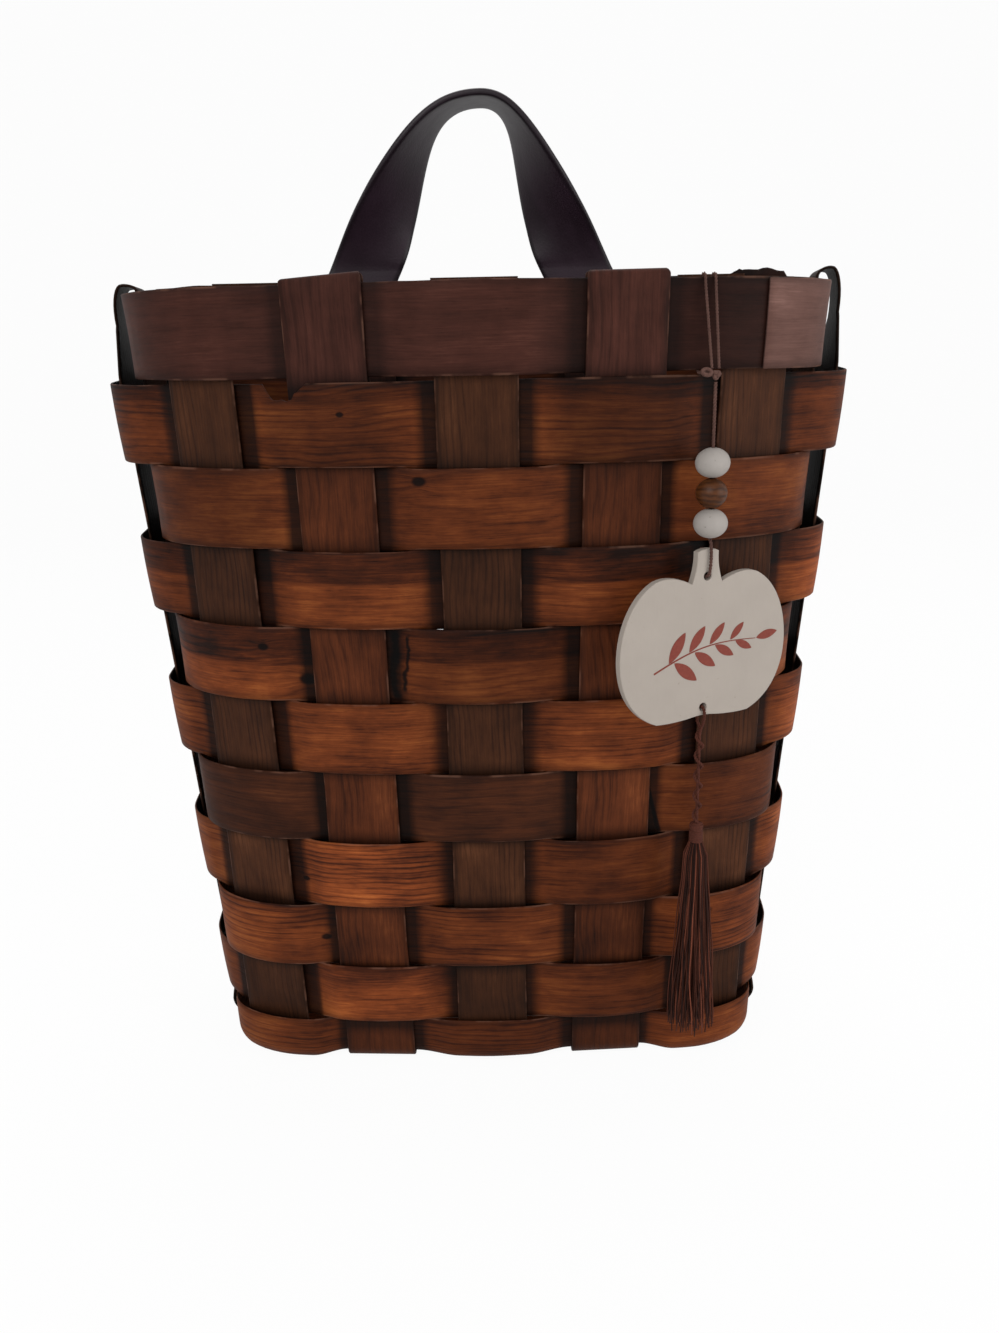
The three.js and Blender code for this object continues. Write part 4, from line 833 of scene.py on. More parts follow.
# partly each splint's own tone and partly painted light: the high values at 3 paint the light that falls on the right
# side
weaverTones = {  # brightness where each hoop passes an upright: 0 is the front's middle, 3 and 9 are the sides
    2: {9: 0.85, 11: 0.6, 1: 0.4, 3: 1.0}, 3: {10: 0.6, 0: 0.87, 2: 0.95}, 4: {9: 1.2, 11: 1.2, 1: 1.15, 3: 2.4},
    5: {10: 1.4, 0: 0.72, 2: 1.6}, 6: {9: 1.3, 11: 1.35, 1: 1.35, 3: 2.5}, 7: {10: 0.92, 0: 1.05, 2: 0.7, 3: 1.0},
    8: {9: 1.3, 11: 2.2, 1: 0.78, 3: 2.1}, 9: {10: 1.35, 0: 1.02, 2: 1.5}, 10: {9: 1.2, 11: 1.85, 1: 0.9, 3: 2.0},
    11: {10: 1.05, 0: 0.75, 2: 1.3},
}
lapStart = float(planAt(rimTop)["places"][2])
rimFinish = splintFinish(
    "rimWood", taupe, 21.0, lineSpacing=7, lineDepth=0.1, blotch=0.45, dipDepth=0.5,
    lapped=(lapStart + 75, 0, 22, plum),
)
darkFinish = splintFinish("darkStakeWood", olive, 33.0, lineSpacing=3.0, lineDepth=0.4, dipDepth=0.8)
# above 362 mm the red uprights take the plum colours: a painted sheen of the light from above
redFinish = splintFinish("redStakeWood", russet, 47.0, lineSpacing=4.0, dipDepth=0.8, crown=(362, 8, plum))
# gain 0.3 darkens the side uprights: painted shade, as they stand in shadow at the sides
sideFinish = splintFinish("sideStakeWood", olive, 51.0, gain=0.3)
fillerFinish = splintFinish("baseWood", warm, 61.0)
leather, cordThread = leatherFinish(), threadFinish("cordThread", (0.150, 0.078, 0.062), (0.026, 0.0115, 0.009))
rustThread = threadFinish("rustThread", (0.115, 0.034, 0.021), (0.024, 0.0068, 0.0042))
tasselThread = threadFinish("tasselThread", (0.105, 0.030, 0.0165), (0.026, 0.0068, 0.0036), 1800.0, toned=True)
whitePaint = paintFinish("whitePaint", (0.355, 0.310, 0.270), (0.17, 0.13, 0.095), 0.68)
beadPaint = paintFinish("beadPaint", (0.335, 0.305, 0.28), (0.15, 0.125, 0.105), 0.64)
beadWood, brass, rustPaint = beadWoodFinish(), brassFinish(), rustPaintFinish()
print("finishes made")

# The charm's sizes, in millimetres; its cords are laid first, because the tag hangs by them.
charm = dict(
    x=104, standOff=10.5, strand=1.5, cord=1.8, spread=2.3, knotDrop=2, knotRadius=2.9, knotToBead=32, bead=16,
    middleBead=14.6, beadHeight=13.6, bore=3, beadToTag=5, tagWidth=96, tagHeight=72, tagThickness=4, bevel=0.5,
    stemHeight=12.5, stemWidth=15, hole=2.1, setBack=2.4, stemHoleDrop=13.3, bottomHoleRise=6, yaw=25, tasselCord=62,
    headLength=11, headRadius=3.6, skirt=108, skirtTop=4.6, skirtBottom=14,
)
c = Sizes(**charm)
vec = np.array
rimPlan = planAt(rimTop)
charmPlace = float(np.interp(c.x, rimPlan["x"][:frontSteps], rimPlan["run"][:frontSteps]))
wallXy, outXy = at(rimPlan, np.array(charmPlace)), normal(rimPlan, np.array(charmPlace))
charmOut, charmAlong = vec([*outXy, 0]), vec([-outXy[1], outXy[0], 0])
charmPoint = lambda u, v, z: vec([*wallXy, z]) + charmAlong * u + charmOut * v


def bandPoint(u, level, v):  # beside the rim band: u along it, v out from its middle
    plan = planAt(level)
    s = charmPlace + u
    share = (s - rimPlan["places"][1] - halfStake) / spans(rimPlan)[1]
    where = np.array([[1, halfStake, share]])
    place = alongHoop(plan, where)
    offset = weaverOffset(1, plan, where, np.ones(12))[0]
    x, y = (at(plan, place) + normal(plan, place) * offset)[0]
    return vec([x, y, heightAt(level, y, plan)]) + charmOut * v


knotZ = rimBottom - c.knotDrop
knot = charmPoint(0, c.standOff, knotZ)
knotReach = c.knotRadius + b.seatGap
strandSeat = b.weaverThickness / 2 + b.seatGap + c.strand / 2 + 0.55


def towardsKnot(side, u, v, z):  # the knot's own surface on the line to a point
    d = charmPoint(side * u, v, z) - knot
    return knot + d / np.linalg.norm(d) * (knotReach + c.strand * 0.15)


def loopPoints(side):  # from the knot over the rim band, down inside, out through the slit and back
    slit = rimBottom - b.rimSlit / 2
    spot = lambda u, level, v: bandPoint(side * u, level, v)
    lift, small = vec([0, 0, c.strand / 2 + b.seatGap + 0.4]), vec([0, 0, 0.2])
    front, back = towardsKnot(side, 1.9, c.standOff - 0.6, knotZ + 3), towardsKnot(side, 2.4, 0, slit)
    outer, inner = spot(c.spread, rimTop, strandSeat), spot(c.spread, rimTop, -strandSeat)
    crown = spot(c.spread, rimTop, 0) + lift
    over = spot(c.spread, rimTop - 3, strandSeat)
    return [
        front, mix(front, over, 0.3), mix(front, over, 0.65), over,
        mix(outer, crown, 0.5) + charmOut * 0.3 + small, crown,
        mix(inner, crown, 0.5) - charmOut * 0.3 + small, spot(c.spread, rimTop - 3, -strandSeat),
        spot(c.spread * 0.9, rimBottom + 12, -strandSeat), spot(c.spread * 0.75, rimBottom + 2.4, -strandSeat),
        spot(c.spread * 0.7, slit + 0.1, -strandSeat * 0.6), spot(c.spread * 0.6, slit, 0),
        spot(c.spread * 0.5, slit, strandSeat), back,
    ]


beadPitch = c.beadHeight + b.seatGap
firstBead = knotZ - c.knotToBead - c.beadHeight / 2
stemTop = firstBead - 2 * beadPitch - c.beadHeight / 2 - c.beadToTag
stemHoleZ = stemTop - c.stemHoleDrop
lobeTop = c.stemHoleDrop - c.stemHeight
lobeBottom = lobeTop - c.tagHeight
bottomHole = lobeBottom + c.bottomHoleRise
yaw = math.radians(c.yaw)
tagX, facing = vec([math.cos(yaw), math.sin(yaw), 0]), vec([math.sin(yaw), -math.cos(yaw), 0])
stemHole = vec([knot[0], knot[1], stemHoleZ]) - facing * c.setBack
tagPoint = lambda x, y, z: stemHole + tagX * x + vec([0, 0, 1]) * y + facing * z
cordFront = c.tagThickness / 2 + b.seatGap + c.cord / 2
holePoint = tagPoint(0, bottomHole, 0)
tasselTop = holePoint[2] - c.tasselCord
cordTop = knot[2] - knotReach

charmCordPoints = [
    vec([knot[0], knot[1], mix(cordTop, stemTop + c.beadToTag, t)]) for t in (0, 0.2, 0.4, 0.6, 0.8, 1)
] + [
    tagPoint(*p) for p in (
        (0.1, c.stemHoleDrop + 2.6, cordFront), (0.6, c.stemHoleDrop - 3.2, cordFront), (0.3, 4.5, cordFront + 0.1),
        (0.1, 1.1, cordFront - 0.5), (0, 0, 1.3), (0, 0, -1.3), (-0.1, 1.1, 0.5 - cordFront),
        (-0.3, 4.5, -cordFront - 0.1), (-0.4, c.stemHoleDrop - 3.2, -cordFront),
        (-0.5, c.stemHoleDrop - 0.4, -cordFront * 0.95),
    )
]
tasselCordPoints = [
    tagPoint(0, bottomHole + y, z) for y, z in (
        (-5.6, 0.3 - cordFront), (-3.2, -cordFront), (-1, 0.5 - cordFront), (0, -1.3), (0, 1.3), (-1, cordFront - 0.5),
        (-3.4, cordFront), (-8, cordFront * 0.8), (-11.5, cordFront * 0.25),
    )
] + [
    vec([holePoint[0], holePoint[1], mix(holePoint[2] - 14, tasselTop + b.seatGap, t)])
    for t in (0, 0.25, 0.5, 0.75, 1)
]

# The second leg leaves the hole behind the tag and winds round the first, out to a distance aside.
leg = dict(diameter=1.7, turns=4.6, start=1.2, aside=1.75, drop=12.5)
t = np.linspace(0, 1, 46)
wound = 2 * np.pi * leg["turns"] * t + leg["start"]
legTop, legLow = holePoint[2] - leg["drop"], tasselTop + b.seatGap
aside = leg["aside"] * np.minimum(1, 0.62 + t * 4)
legXy = [holePoint[0] + aside * np.cos(wound), holePoint[1] + aside * np.sin(wound)]
secondLeg = [tagPoint(0.3, bottomHole + y, z) for y, z in ((-5.6, -0.2 - cordFront), (-8.4, -cordFront * 0.9))]
secondLeg += list(np.stack([*legXy, mix(legTop, legLow, t)], 1))
cordJobs = [
    ("charmLoopLeft", loopPoints(-1), c.strand, 150, "basket", "charm_loop_left", "knot", "taut"),
    ("charmLoopRight", loopPoints(1), c.strand, 150, "basket", "charm_loop_right", "knot", "taut"),
    ("charmCord", charmCordPoints, c.cord, 170, "charm_drop", "charm_cord", "object", "hanging"),
    ("tasselCord", tasselCordPoints, c.cord, 150, "tassel", "tassel_cord", "object", "hanging"),
    ("tasselCordSecond", secondLeg, leg["diameter"], 170, "tassel", None, "object", "hanging"),
]
for name, points, diameter, steps, body, node, farEnd, lay in cordJobs:
    thread = rustThread if body == "tassel" else cordThread
    piece, path, length = pliedCord(name, points, diameter, steps, thread, body, (node,) if node else ())
    dict(piece=piece, path=path, length=length, diameter=diameter * mm, farEnd=farEnd, lay=lay)


# A turned shape: profile (radius, height) swept round the upright line through centre.
def turnedPiece(name, profile, centre, steps, material, body, replaced, slotName, axis="z", closed=False):
    profile = np.array(profile, float)
    a = np.linspace(0, 2 * np.pi, steps, endpoint=False)
    r, h = np.maximum(profile[:, 0], 0.0)[:, None], np.broadcast_to(profile[:, 1][:, None], (len(profile), steps))
    flat = [r * np.cos(a), r * np.sin(a), h] if axis == "z" else [r * np.cos(a), h, r * np.sin(a)]
    points = np.stack(flat, -1).reshape(-1, 3) + centre + shift
    faces = turnedOut(points, ringFaces(len(profile), steps, "none", closed))
    piece = setDown(name, points, faces, material, body, replaced, slotName)
    work = bmesh.new()
    work.from_mesh(piece.data)
    bmesh.ops.remove_doubles(work, verts=work.verts, dist=1e-6)
    work.to_mesh(piece.data)
    work.free()
    piece.data.polygons.foreach_set("use_smooth", np.full(len(piece.data.polygons), True))
    return piece


def beadPiece(name, node, diameter, z, material, slotName):  # a flattened ball round the cord's bore
    start = math.asin(c.bore / diameter)
    a = np.linspace(start, math.pi - start, 22)
    profile = [(diameter / 2 * math.sin(v), -c.beadHeight / 2 * math.cos(v) / math.cos(start)) for v in a]
    rim = c.bore / 2
    profile = [(rim * 0.93, -c.beadHeight / 2 + 0.35)] + profile + [(rim * 0.93, c.beadHeight / 2 - 0.35)]
    return turnedPiece(name, profile, vec([knot[0], knot[1], z]), 40, material, node, (node,), slotName, closed=True)


beads = [
    beadPiece("beadTop", "bead_top", c.bead, firstBead, beadPaint, "white_paint"),
    beadPiece("beadMiddle", "bead_middle", c.middleBead, firstBead - beadPitch, beadWood, "brown_bead"),
    beadPiece("beadBottom", "bead_bottom", c.bead, firstBead - 2 * beadPitch, beadPaint, "white_paint"),
]

# The knot is a trefoil of the cord: (sin t + 2 sin 2t, cos t - 2 cos 2t, -sin 3t), closed on itself,
# with a small bight, an ellipse, standing out beside it.
tie = dict(size=0.52, depth=1.3, strand=0.95, sides=9, bightPlace=(-4.6, 0, 1.2), bight=(-2.2, -0.9, 1.25))
t = np.linspace(0, 2 * np.pi, 121)
trefoil = [np.sin(t) + 2 * np.sin(2 * t), -tie["depth"] * np.sin(3 * t), np.cos(t) - 2 * np.cos(2 * t)]
trefoil = np.stack(trefoil, 1) * tie["size"]
bight = np.stack([np.cos(t), np.sin(t), np.sin(t)], 1) * tie["bight"] + tie["bightPlace"]
bight = bight @ vec([charmAlong, charmOut, [0, 0, 1]])
knotTubes = [(tubePoints(line + knot, tie["strand"], tie["sides"]), len(t), tie["sides"]) for line in (trefoil, bight)]
knotPoints, knotFaces = joinTubes(knotTubes)
knotPiece = setDown("charmKnot", knotPoints + shift, knotFaces, cordThread, "charm_knot", ("charm_knot",), "cord")


def bezier(p, q, r, s, n=18):  # a cubic curve without its last point
    t = np.linspace(0, 1, n, endpoint=False)[:, None]
    return (1 - t) ** 3 * vec(p) + 3 * t * (1 - t) ** 2 * vec(q) + 3 * t * t * (1 - t) * vec(r) + t**3 * vec(s)


def quadratic(p, q, s, n=10):  # a curve with one control point, as a cubic
    p, q, s = vec(p, float), vec(q, float), vec(s, float)
    return bezier(p, p + (q - p) * 2 / 3, s + (q - s) * 2 / 3, s, n)


def tagOutline():  # the right half of a squat pumpkin with a stem, then its mirror image
    half, stem = c.tagWidth / 2, c.stemWidth / 2
    middle, shoulder = lobeTop - c.tagHeight * 0.52, lobeTop - c.tagHeight * 0.055
    notch, top, low = bottomHole - c.hole - 2.4, lobeTop, lobeBottom
    upper, brow = top - c.tagHeight * 0.11, middle + c.tagHeight * 0.2
    jaw, lower = middle - c.tagHeight * 0.21, low + c.tagHeight * 0.083
    dip, crest, temple = low + c.tagHeight * 0.01, top + c.tagHeight * 0.01, top - c.tagHeight * 0.02
    cap = (stem * 0.8, c.stemHoleDrop - 1.5)
    right = np.vstack([
        quadratic((0, c.stemHoleDrop - 0.15), (stem * 0.5, c.stemHoleDrop - 0.15), cap, 5),
        quadratic(cap, (stem * 0.75, top + 4), (stem * 1.15, shoulder)),
        bezier((stem * 1.15, shoulder), (half * 0.36, crest), (half * 0.52, crest), (half * 0.62, temple)),
        bezier((half * 0.62, temple), (half * 0.88, upper), (half, brow), (half, middle)),
        bezier((half, middle), (half, jaw), (half * 0.85, lower), (half * 0.56, dip)),
        bezier((half * 0.56, dip), (half * 0.4, low), (half * 0.22, dip), (half * 0.12, notch)),
        quadratic((half * 0.12, notch), (half * 0.06, notch + 0.4), (0, notch + 0.4), 4),
        [[0, notch + 0.4]],
    ])
    return np.vstack([right, (right * [-1, 1])[-2:0:-1]])


# A flat plate with a rounded edge: its outline filled round its holes, raised by half its thickness.
def platePiece(name, outlines, thickness, bevel, material, replaced, slotName, lift=0.0):
    curve = bpy.data.curves.new(name, "CURVE")
    curve.dimensions, curve.fill_mode = "2D", "BOTH"
    curve.extrude, curve.bevel_depth, curve.bevel_resolution = thickness / 2 - bevel, bevel, 3
    curve.offset = -bevel
    for outline in outlines:
        line = curve.splines.new("POLY")
        line.points.add(len(outline) - 1)
        flat = np.column_stack([outline, np.zeros(len(outline)), np.ones(len(outline))])
        line.points.foreach_set("co", flat.ravel().astype(np.float32))
        line.use_cyclic_u = True
    drawn = bpy.data.objects.new(name + "Curve", curve)
    bpy.context.scene.collection.objects.link(drawn)
    bpy.context.view_layer.update()
    mesh = bpy.data.meshes.new_from_object(drawn.evaluated_get(bpy.context.evaluated_depsgraph_get()))
    bpy.data.objects.remove(drawn)
    work = bmesh.new()
    work.from_mesh(mesh)
    bmesh.ops.remove_doubles(work, verts=work.verts, dist=1e-4)
    bmesh.ops.recalc_face_normals(work, faces=work.faces)
    co = np.array([v.co for v in work.verts])
    faces = [[v.index for v in f.verts] for f in work.faces]
    work.free()
    bpy.data.meshes.remove(mesh)
    points = stemHole + co[:, :2] @ vec([tagX, [0, 0, 1]]) + np.outer(co[:, 2] + lift, facing)
    return setDown(name, points + shift, faces, material, "tag", replaced, slotName, smooth=False)


ring = np.linspace(0, 2 * np.pi, 24, endpoint=False)
holeAt = lambda y: np.stack([c.hole * np.cos(ring), y + c.hole * np.sin(ring)], 1)
holes = [holeAt(0), holeAt(bottomHole)]
platePiece("tagPlate", [tagOutline(), *holes], c.tagThickness, c.bevel, whitePaint, ("tag",), "white_paint")

# A painted sprig: leaves as wide as sin(pi t) to the power 0.8, either side of a stalk bent as a sine.
sprig = dict(
    centre=(0, -37), length=60, leaf=16, leafWidth=5.6, stalk=1.0, pairs=4, raised=0.12, tilt=10, bow=4.5, sink=2.2,
    spread=48, closing=4, start=0.14, step=0.2, stagger=0.05, grown=1.05, shrink=0.12,
)


def turnedBy(a):  # turns flat points by an angle
    return np.array([[math.cos(a), math.sin(a)], [-math.sin(a), math.cos(a)]])


def sprigOutlines():  # the stalk, pairs of leaves that shrink along it, and one at its tip
    p = Sizes(**sprig)
    stalk = lambda t: vec([(t - 0.5) * p.length, p.bow * math.sin(math.pi * t) - p.sink])
    run = np.array([stalk(t) for t in np.linspace(0, 1, 24)])
    width = np.linspace(0.9, 0.35, 24)[:, None] * p.stalk / 2
    outlines = [np.vstack([run + [0, 1] * width, (run - [0, 1] * width)[::-1]])]
    leaf = np.linspace(0, 1, 18)
    edge = np.stack([leaf * p.leaf, p.leafWidth / 2 * np.sin(np.pi * leaf) ** 0.8], 1)
    shape = np.vstack([edge, (edge * [1, -1])[-2:0:-1]])
    for k in range(p.pairs):
        for side in (-1, 1):
            a = side * math.radians(p.spread - p.closing * k)
            foot = stalk(p.start + p.step * k + (p.stagger if side < 0 else 0)) + vec([math.cos(a), math.sin(a)]) * 0.9
            outlines.append(shape @ turnedBy(a) * (p.grown - p.shrink * k) + foot)
    outlines.append(shape * 0.8 + stalk(1.0) + [0.5, 0])
    return [outline @ turnedBy(math.radians(p.tilt)) + p.centre for outline in outlines]


for n, outline in enumerate(sprigOutlines()):
    lift = c.tagThickness / 2 + sprig["raised"] / 2 + 0.01
    platePiece(f"tagSprig{n + 1}", [outline], sprig["raised"], 0.02, rustPaint, (), None, lift)
print("tag cut")

threads = dict(turns=11, wrap=0.55, count=190, steps=15, sides=5, radius=0.40, shades=[0.25, 0.6, 1.1, 2.3])


# The tassel: a core, a cord wound round it as a helix, and threads that spread as the root of
# their share of the count and waver more the further they hang.
def tasselPieces():
    p, rng = Sizes(**threads), np.random.default_rng(77)
    centre = vec([holePoint[0], holePoint[1], 0])
    t = np.linspace(0, 1, p.turns * 22)
    a = 2 * np.pi * p.turns * t
    swell = c.headRadius - 0.55 - 0.5 * np.exp(-(((t - 0.3) / 0.08) ** 2)) - 0.35 * (1 - np.minimum(1, t / 0.1))
    wrap = centre + np.stack([swell * np.cos(a), swell * np.sin(a), tasselTop - 0.9 - (c.headLength - 1.6) * t], 1)
    low = -c.headLength
    core = turnedPiece(
        "tasselHead", [(0, 0), (1.6, -0.1), (2.7, -0.9), (2.6, low + 0.9), (2.3, low), (0, low)],
        centre + [0, 0, tasselTop], 20, rustThread, "tassel", ("tassel_head",), "tassel",
    )
    windings = tubePoints(wrap, p.wrap, 7)
    faces = turnedOut(windings, ringFaces(len(wrap), 7, "fan"))
    bound = setDown("tasselWrap", windings + shift, faces, rustThread, "tassel", (), "tassel")
    top, drop = tasselTop - c.headLength + 0.8, np.linspace(0, 1, p.steps)
    tubes, shades = [], []
    for n in range(p.count):
        a, out = rng.uniform(0, 2 * np.pi), math.sqrt((n + 0.5) / p.count)
        start, end = out * (c.skirtTop - 1.6), out * (c.skirtBottom - 0.3) * rng.uniform(0.86, 1.0)
        long = c.skirt * rng.uniform(0.93, 1.0)
        radius = mix(start, end, drop**0.62) + 1.1 * np.sin(np.pi * np.minimum(1, drop * 6)) * out
        swing = a + 0.25 * np.sin(drop * rng.uniform(2, 6) + rng.uniform(0, 6.28)) * drop
        wobble = 0.45 * np.sin(drop * rng.uniform(8, 20) + rng.uniform(0, 6.28)) * drop
        line = centre + np.stack([radius * np.cos(swing) + wobble, radius * np.sin(swing), top - long * drop], 1)
        tubes.append((tubePoints(line, p.radius * (1 - 0.25 * drop), p.sides), p.steps, p.sides))
        shades.append(rng.choice(p.shades, p=[0.35, 0.25, 0.22, 0.18]) * rng.uniform(0.8, 1.2))
    points, faces = joinTubes(tubes)
    tone = np.repeat(shades, p.steps * p.sides)
    skirt = setDown(
        "tasselSkirt", points + shift, faces, tasselThread, "tassel", ("tassel_skirt",), "tassel", tone=tone,
    )
    return [core, bound, skirt]


tassel = tasselPieces()
print("tassel tied")

lapAt = lambda level, up: np.diff(planAt(level)["places"])[up] - b.lapLength / 2  # how far past it the lap begins
rimTones = {2: 1.0, 3: 1.0, 4: 1.0, 9: 1.1, 10: 1.0, 11: 0.95, 12: 1.0, 13: 0.5, 14: 0.42}  # paler at the lap's end
rowLift = {10: 1.5, 11: 5.0}  # the lowest rows crowd up a little
bottomAngles = (8, 16, 24, 32, 40)  # how far the last row turns under
chipsAt = {  # upright, and from it the chip's start, full depth from and to, and depth
    1: [(4, -42, -16, -10, -2.8), (4, -36, -31, -27, -0.8)], 2: [(11, -29.5, -18.0, -9.0, 7.4)],
}
hoopPiece(
    "hoopSplint1", "rim_band", 1, [(rimTop, 0), (rimBottom, 0)], (2, 1, 0), rimFinish, "rim_band", rimTones, 101,
    chipsAt[1],
)
for row in range(2, b.rows + 3):
    look = dict(stops=warm) | weaverLooks[row]
    for key in ("knots", "cracks"):  # knots, splits and a change of colour are placed from the front's middle
        look[key] = [(frontOf(row) + place, *rest) for place, *rest in look.get(key, [])]
    if "lapped" in look:
        look["lapped"] = (frontOf(row) + look["lapped"][0], *look["lapped"][1:])
    start, last = rowTop(row), row == b.rows + 2
    edges = [(start + rowLift.get(row, 0), 0), (start - b.weaverWidth + rowLift.get(row + 1, 0), 0)]
    if last:
        edges = [(v, 0) for v in np.linspace(bottomTop - b.rowGap + rowLift[row], bendLevel, 7)]
        edges += [(bendLevel, a) for a in bottomAngles]
    up = 5 if row % 2 == 0 else 4
    hoopPiece(
        f"hoopSplint{row}", f"weaver_{row}", row, edges, (up, -1, lapAt(start, up)),
        splintFinish(f"weaverWood{row}", seed=row * 7.3, **look), "dark_weaver" if row == 7 else "weaver",
        weaverTones[row], 100 + row, chipsAt.get(row, ()),
    )
print("hoops woven")

darkHeights = ((20, 60, 120, 300, 420), (0.8, 0.9, 1.2, 1.05, 0.9))
stakes = [  # upright at the front and at the back, brightness, and height against brightness
    (10, 8, 1.0, darkHeights),
    (11, 7, 1.0, ((20, 100, 200, 330, 372, 400), (0.8, 0.95, 1.1, 0.95, 1.08, 1.02))),
    (0, 6, 0.95, darkHeights),
    (1, 5, 1.0, ((20, 100, 160, 330, 372, 400), (0.7, 0.75, 1.3, 0.8, 1.15, 1.15))),
    (2, 4, 1.12, darkHeights),
]
runs = []
for n, (front, back, level, heights) in enumerate(stakes):
    stations, run = crossStations(front, back)
    runs.append(run)
    material, slotName = (redFinish, "red_stake") if front % 2 == 1 else (darkFinish, "dark_stake")
    under = [(rowTop(row) - b.weaverWidth, rowTop(row)) for row in range(2, 12) if (front + row) % 2 == 1]
    tones = dict(level=level, under=under, heights=heights)
    stripPiece(f"uprightSplint{n + 1}", f"stake_{n + 1}", stations, material, slotName, tones, 200 + n)
right, left = flipped(stakeEnd(3) + stakeWall(3)), stakeEnd(9) + stakeWall(9)
leftBend, rightBend = flipped(baseBend(left[-1], (1, 0, 0))), flipped(baseBend(right[-1], (-1, 0, 0)))
sideY = left[-1][0][1]
across = [(p, vec([0, halfStake, 0])) for p in steppedRun(baseWeave(sideY, halfStake, True, runs), sideY)]
sideStations = flipped(left) + leftBend + across + rightBend[::-1] + flipped(right)[::-1]
stripPiece("sideSplint", "side_stake", sideStations, sideFinish, "side_stake", {}, 211)
fillers = dict(  # width, side of the side stake, how far its ends stand back, and the slant of its ends
    fillerSplintFront=("base_filler_front", 22, -1, 22, 9), fillerSplintBack=("base_filler_back", 20, 1, 22, 0),
)
for name, (node, width, where, inset, slant) in fillers.items():
    y = sideY + where * (halfStake + 1 + width / 2)
    corners = baseWeave(y, width / 2, False, runs)
    corners[0], corners[-1] = (corners[0][0] + inset, corners[0][1]), (corners[-1][0] - inset, corners[-1][1])
    line = steppedRun(corners, y)
    stations = [(p, vec([0, width / 2, 0])) for p in line]
    stations[0], stations[-1] = (line[0], vec([-slant, width / 2, 0])), (line[-1], vec([slant, width / 2, 0]))
    stripPiece(name, node, stations, fillerFinish, "filler", dict(inside=1.0), 220 + where, upright=False)
print("uprights bent")

# The strap's and its rivets' sizes, in millimetres; its slopes and lean are in degrees.
strap = dict(
    width=36, thickness=3.6, rise=82, halfSpan=57.8, topShift=7.5, setOut=10, offset=-4, slope=27, shoulder=27,
    lean=2, tail=52, legShare=0.72, twistPower=2.2, hingeRise=3, endRadius=9, rivet=2, head=4.6, headHeight=1.9,
    burr=3.4, burrThickness=0.7, first=12, rivetPitch=21, blendBelow=3, blendAbove=7,
)
st = Sizes(**strap)
backRim = rimTop * (1 + b.backRise / rimTop)
strapY = b.backPlane - 2 * crossing - b.stakeThickness / 2 - b.seatGap - st.thickness / 2
hingeZ = backRim + b.foldRise + crossing + b.stakeThickness / 2 + st.hingeRise
slope = math.radians(st.slope)


# The arch is a cubic curve from its top to the hinge, its width turning a quarter turn on the
# way from along Y to along X; below the hinge the tail runs straight on inside the wall.
def strapSide(side, n=46, tailSteps=26):
    t = np.linspace(0, 1, n)
    reach = st.legShare * st.rise
    (x0, z0), (x1, z1) = (0, st.rise), (st.shoulder, st.rise)
    (x2, z2), (x3, z3) = (st.halfSpan - reach * math.sin(slope), reach * math.cos(slope)), (st.halfSpan, 0)
    weights = [(1 - t) ** 3, 3 * t * (1 - t) ** 2, 3 * t * t * (1 - t), t**3]
    x = sum(w * v for w, v in zip(weights, (x0, x1, x2, x3)))
    z = sum(w * v for w, v in zip(weights, (z0, z1, z2, z3)))
    dx, dz = np.gradient(x), np.gradient(z)
    size = np.hypot(dx, dz)
    twist = np.pi / 2 * t**st.twistPower
    half = np.stack([-dz / size * np.sin(twist), -np.cos(twist), dx / size * np.sin(twist)], 1)
    level = vec([1 / math.cos(slope), 0, 0])
    ease = np.clip((t - 0.8) / 0.2, 0, 1)[:, None] ** 2
    half = mix(half, level, ease) * st.width / 2
    place = np.stack([side * x + st.topShift * (1 - t) ** 2, -st.setOut * np.cos(twist), z], 1)
    half[:, 0] *= side
    lean = math.radians(st.lean)
    spin = np.array([[1, 0, 0], [0, math.cos(lean), math.sin(lean)], [0, -math.sin(lean), math.cos(lean)]])
    origin = vec([st.offset, strapY, hingeZ])
    stations = list(zip(place @ spin + origin, half @ spin))
    top = hingeZ - st.thickness / 2 - b.seatGap
    low = top - st.tail
    tail = []
    for h in np.linspace(hingeZ - 1.5, low, tailSteps):
        into = min(1.0, max(0.0, (h - low) / st.endRadius))
        halfWidth = st.width / 2 / math.cos(slope) - st.endRadius * (1 - math.sqrt(1 - (1 - into) ** 2))
        centre = vec([st.offset + side * (st.halfSpan + (hingeZ - h) * math.tan(slope)), strapY, h])
        tail.append((centre, vec([side * halfWidth, 0, 0])))
    return stations, tail


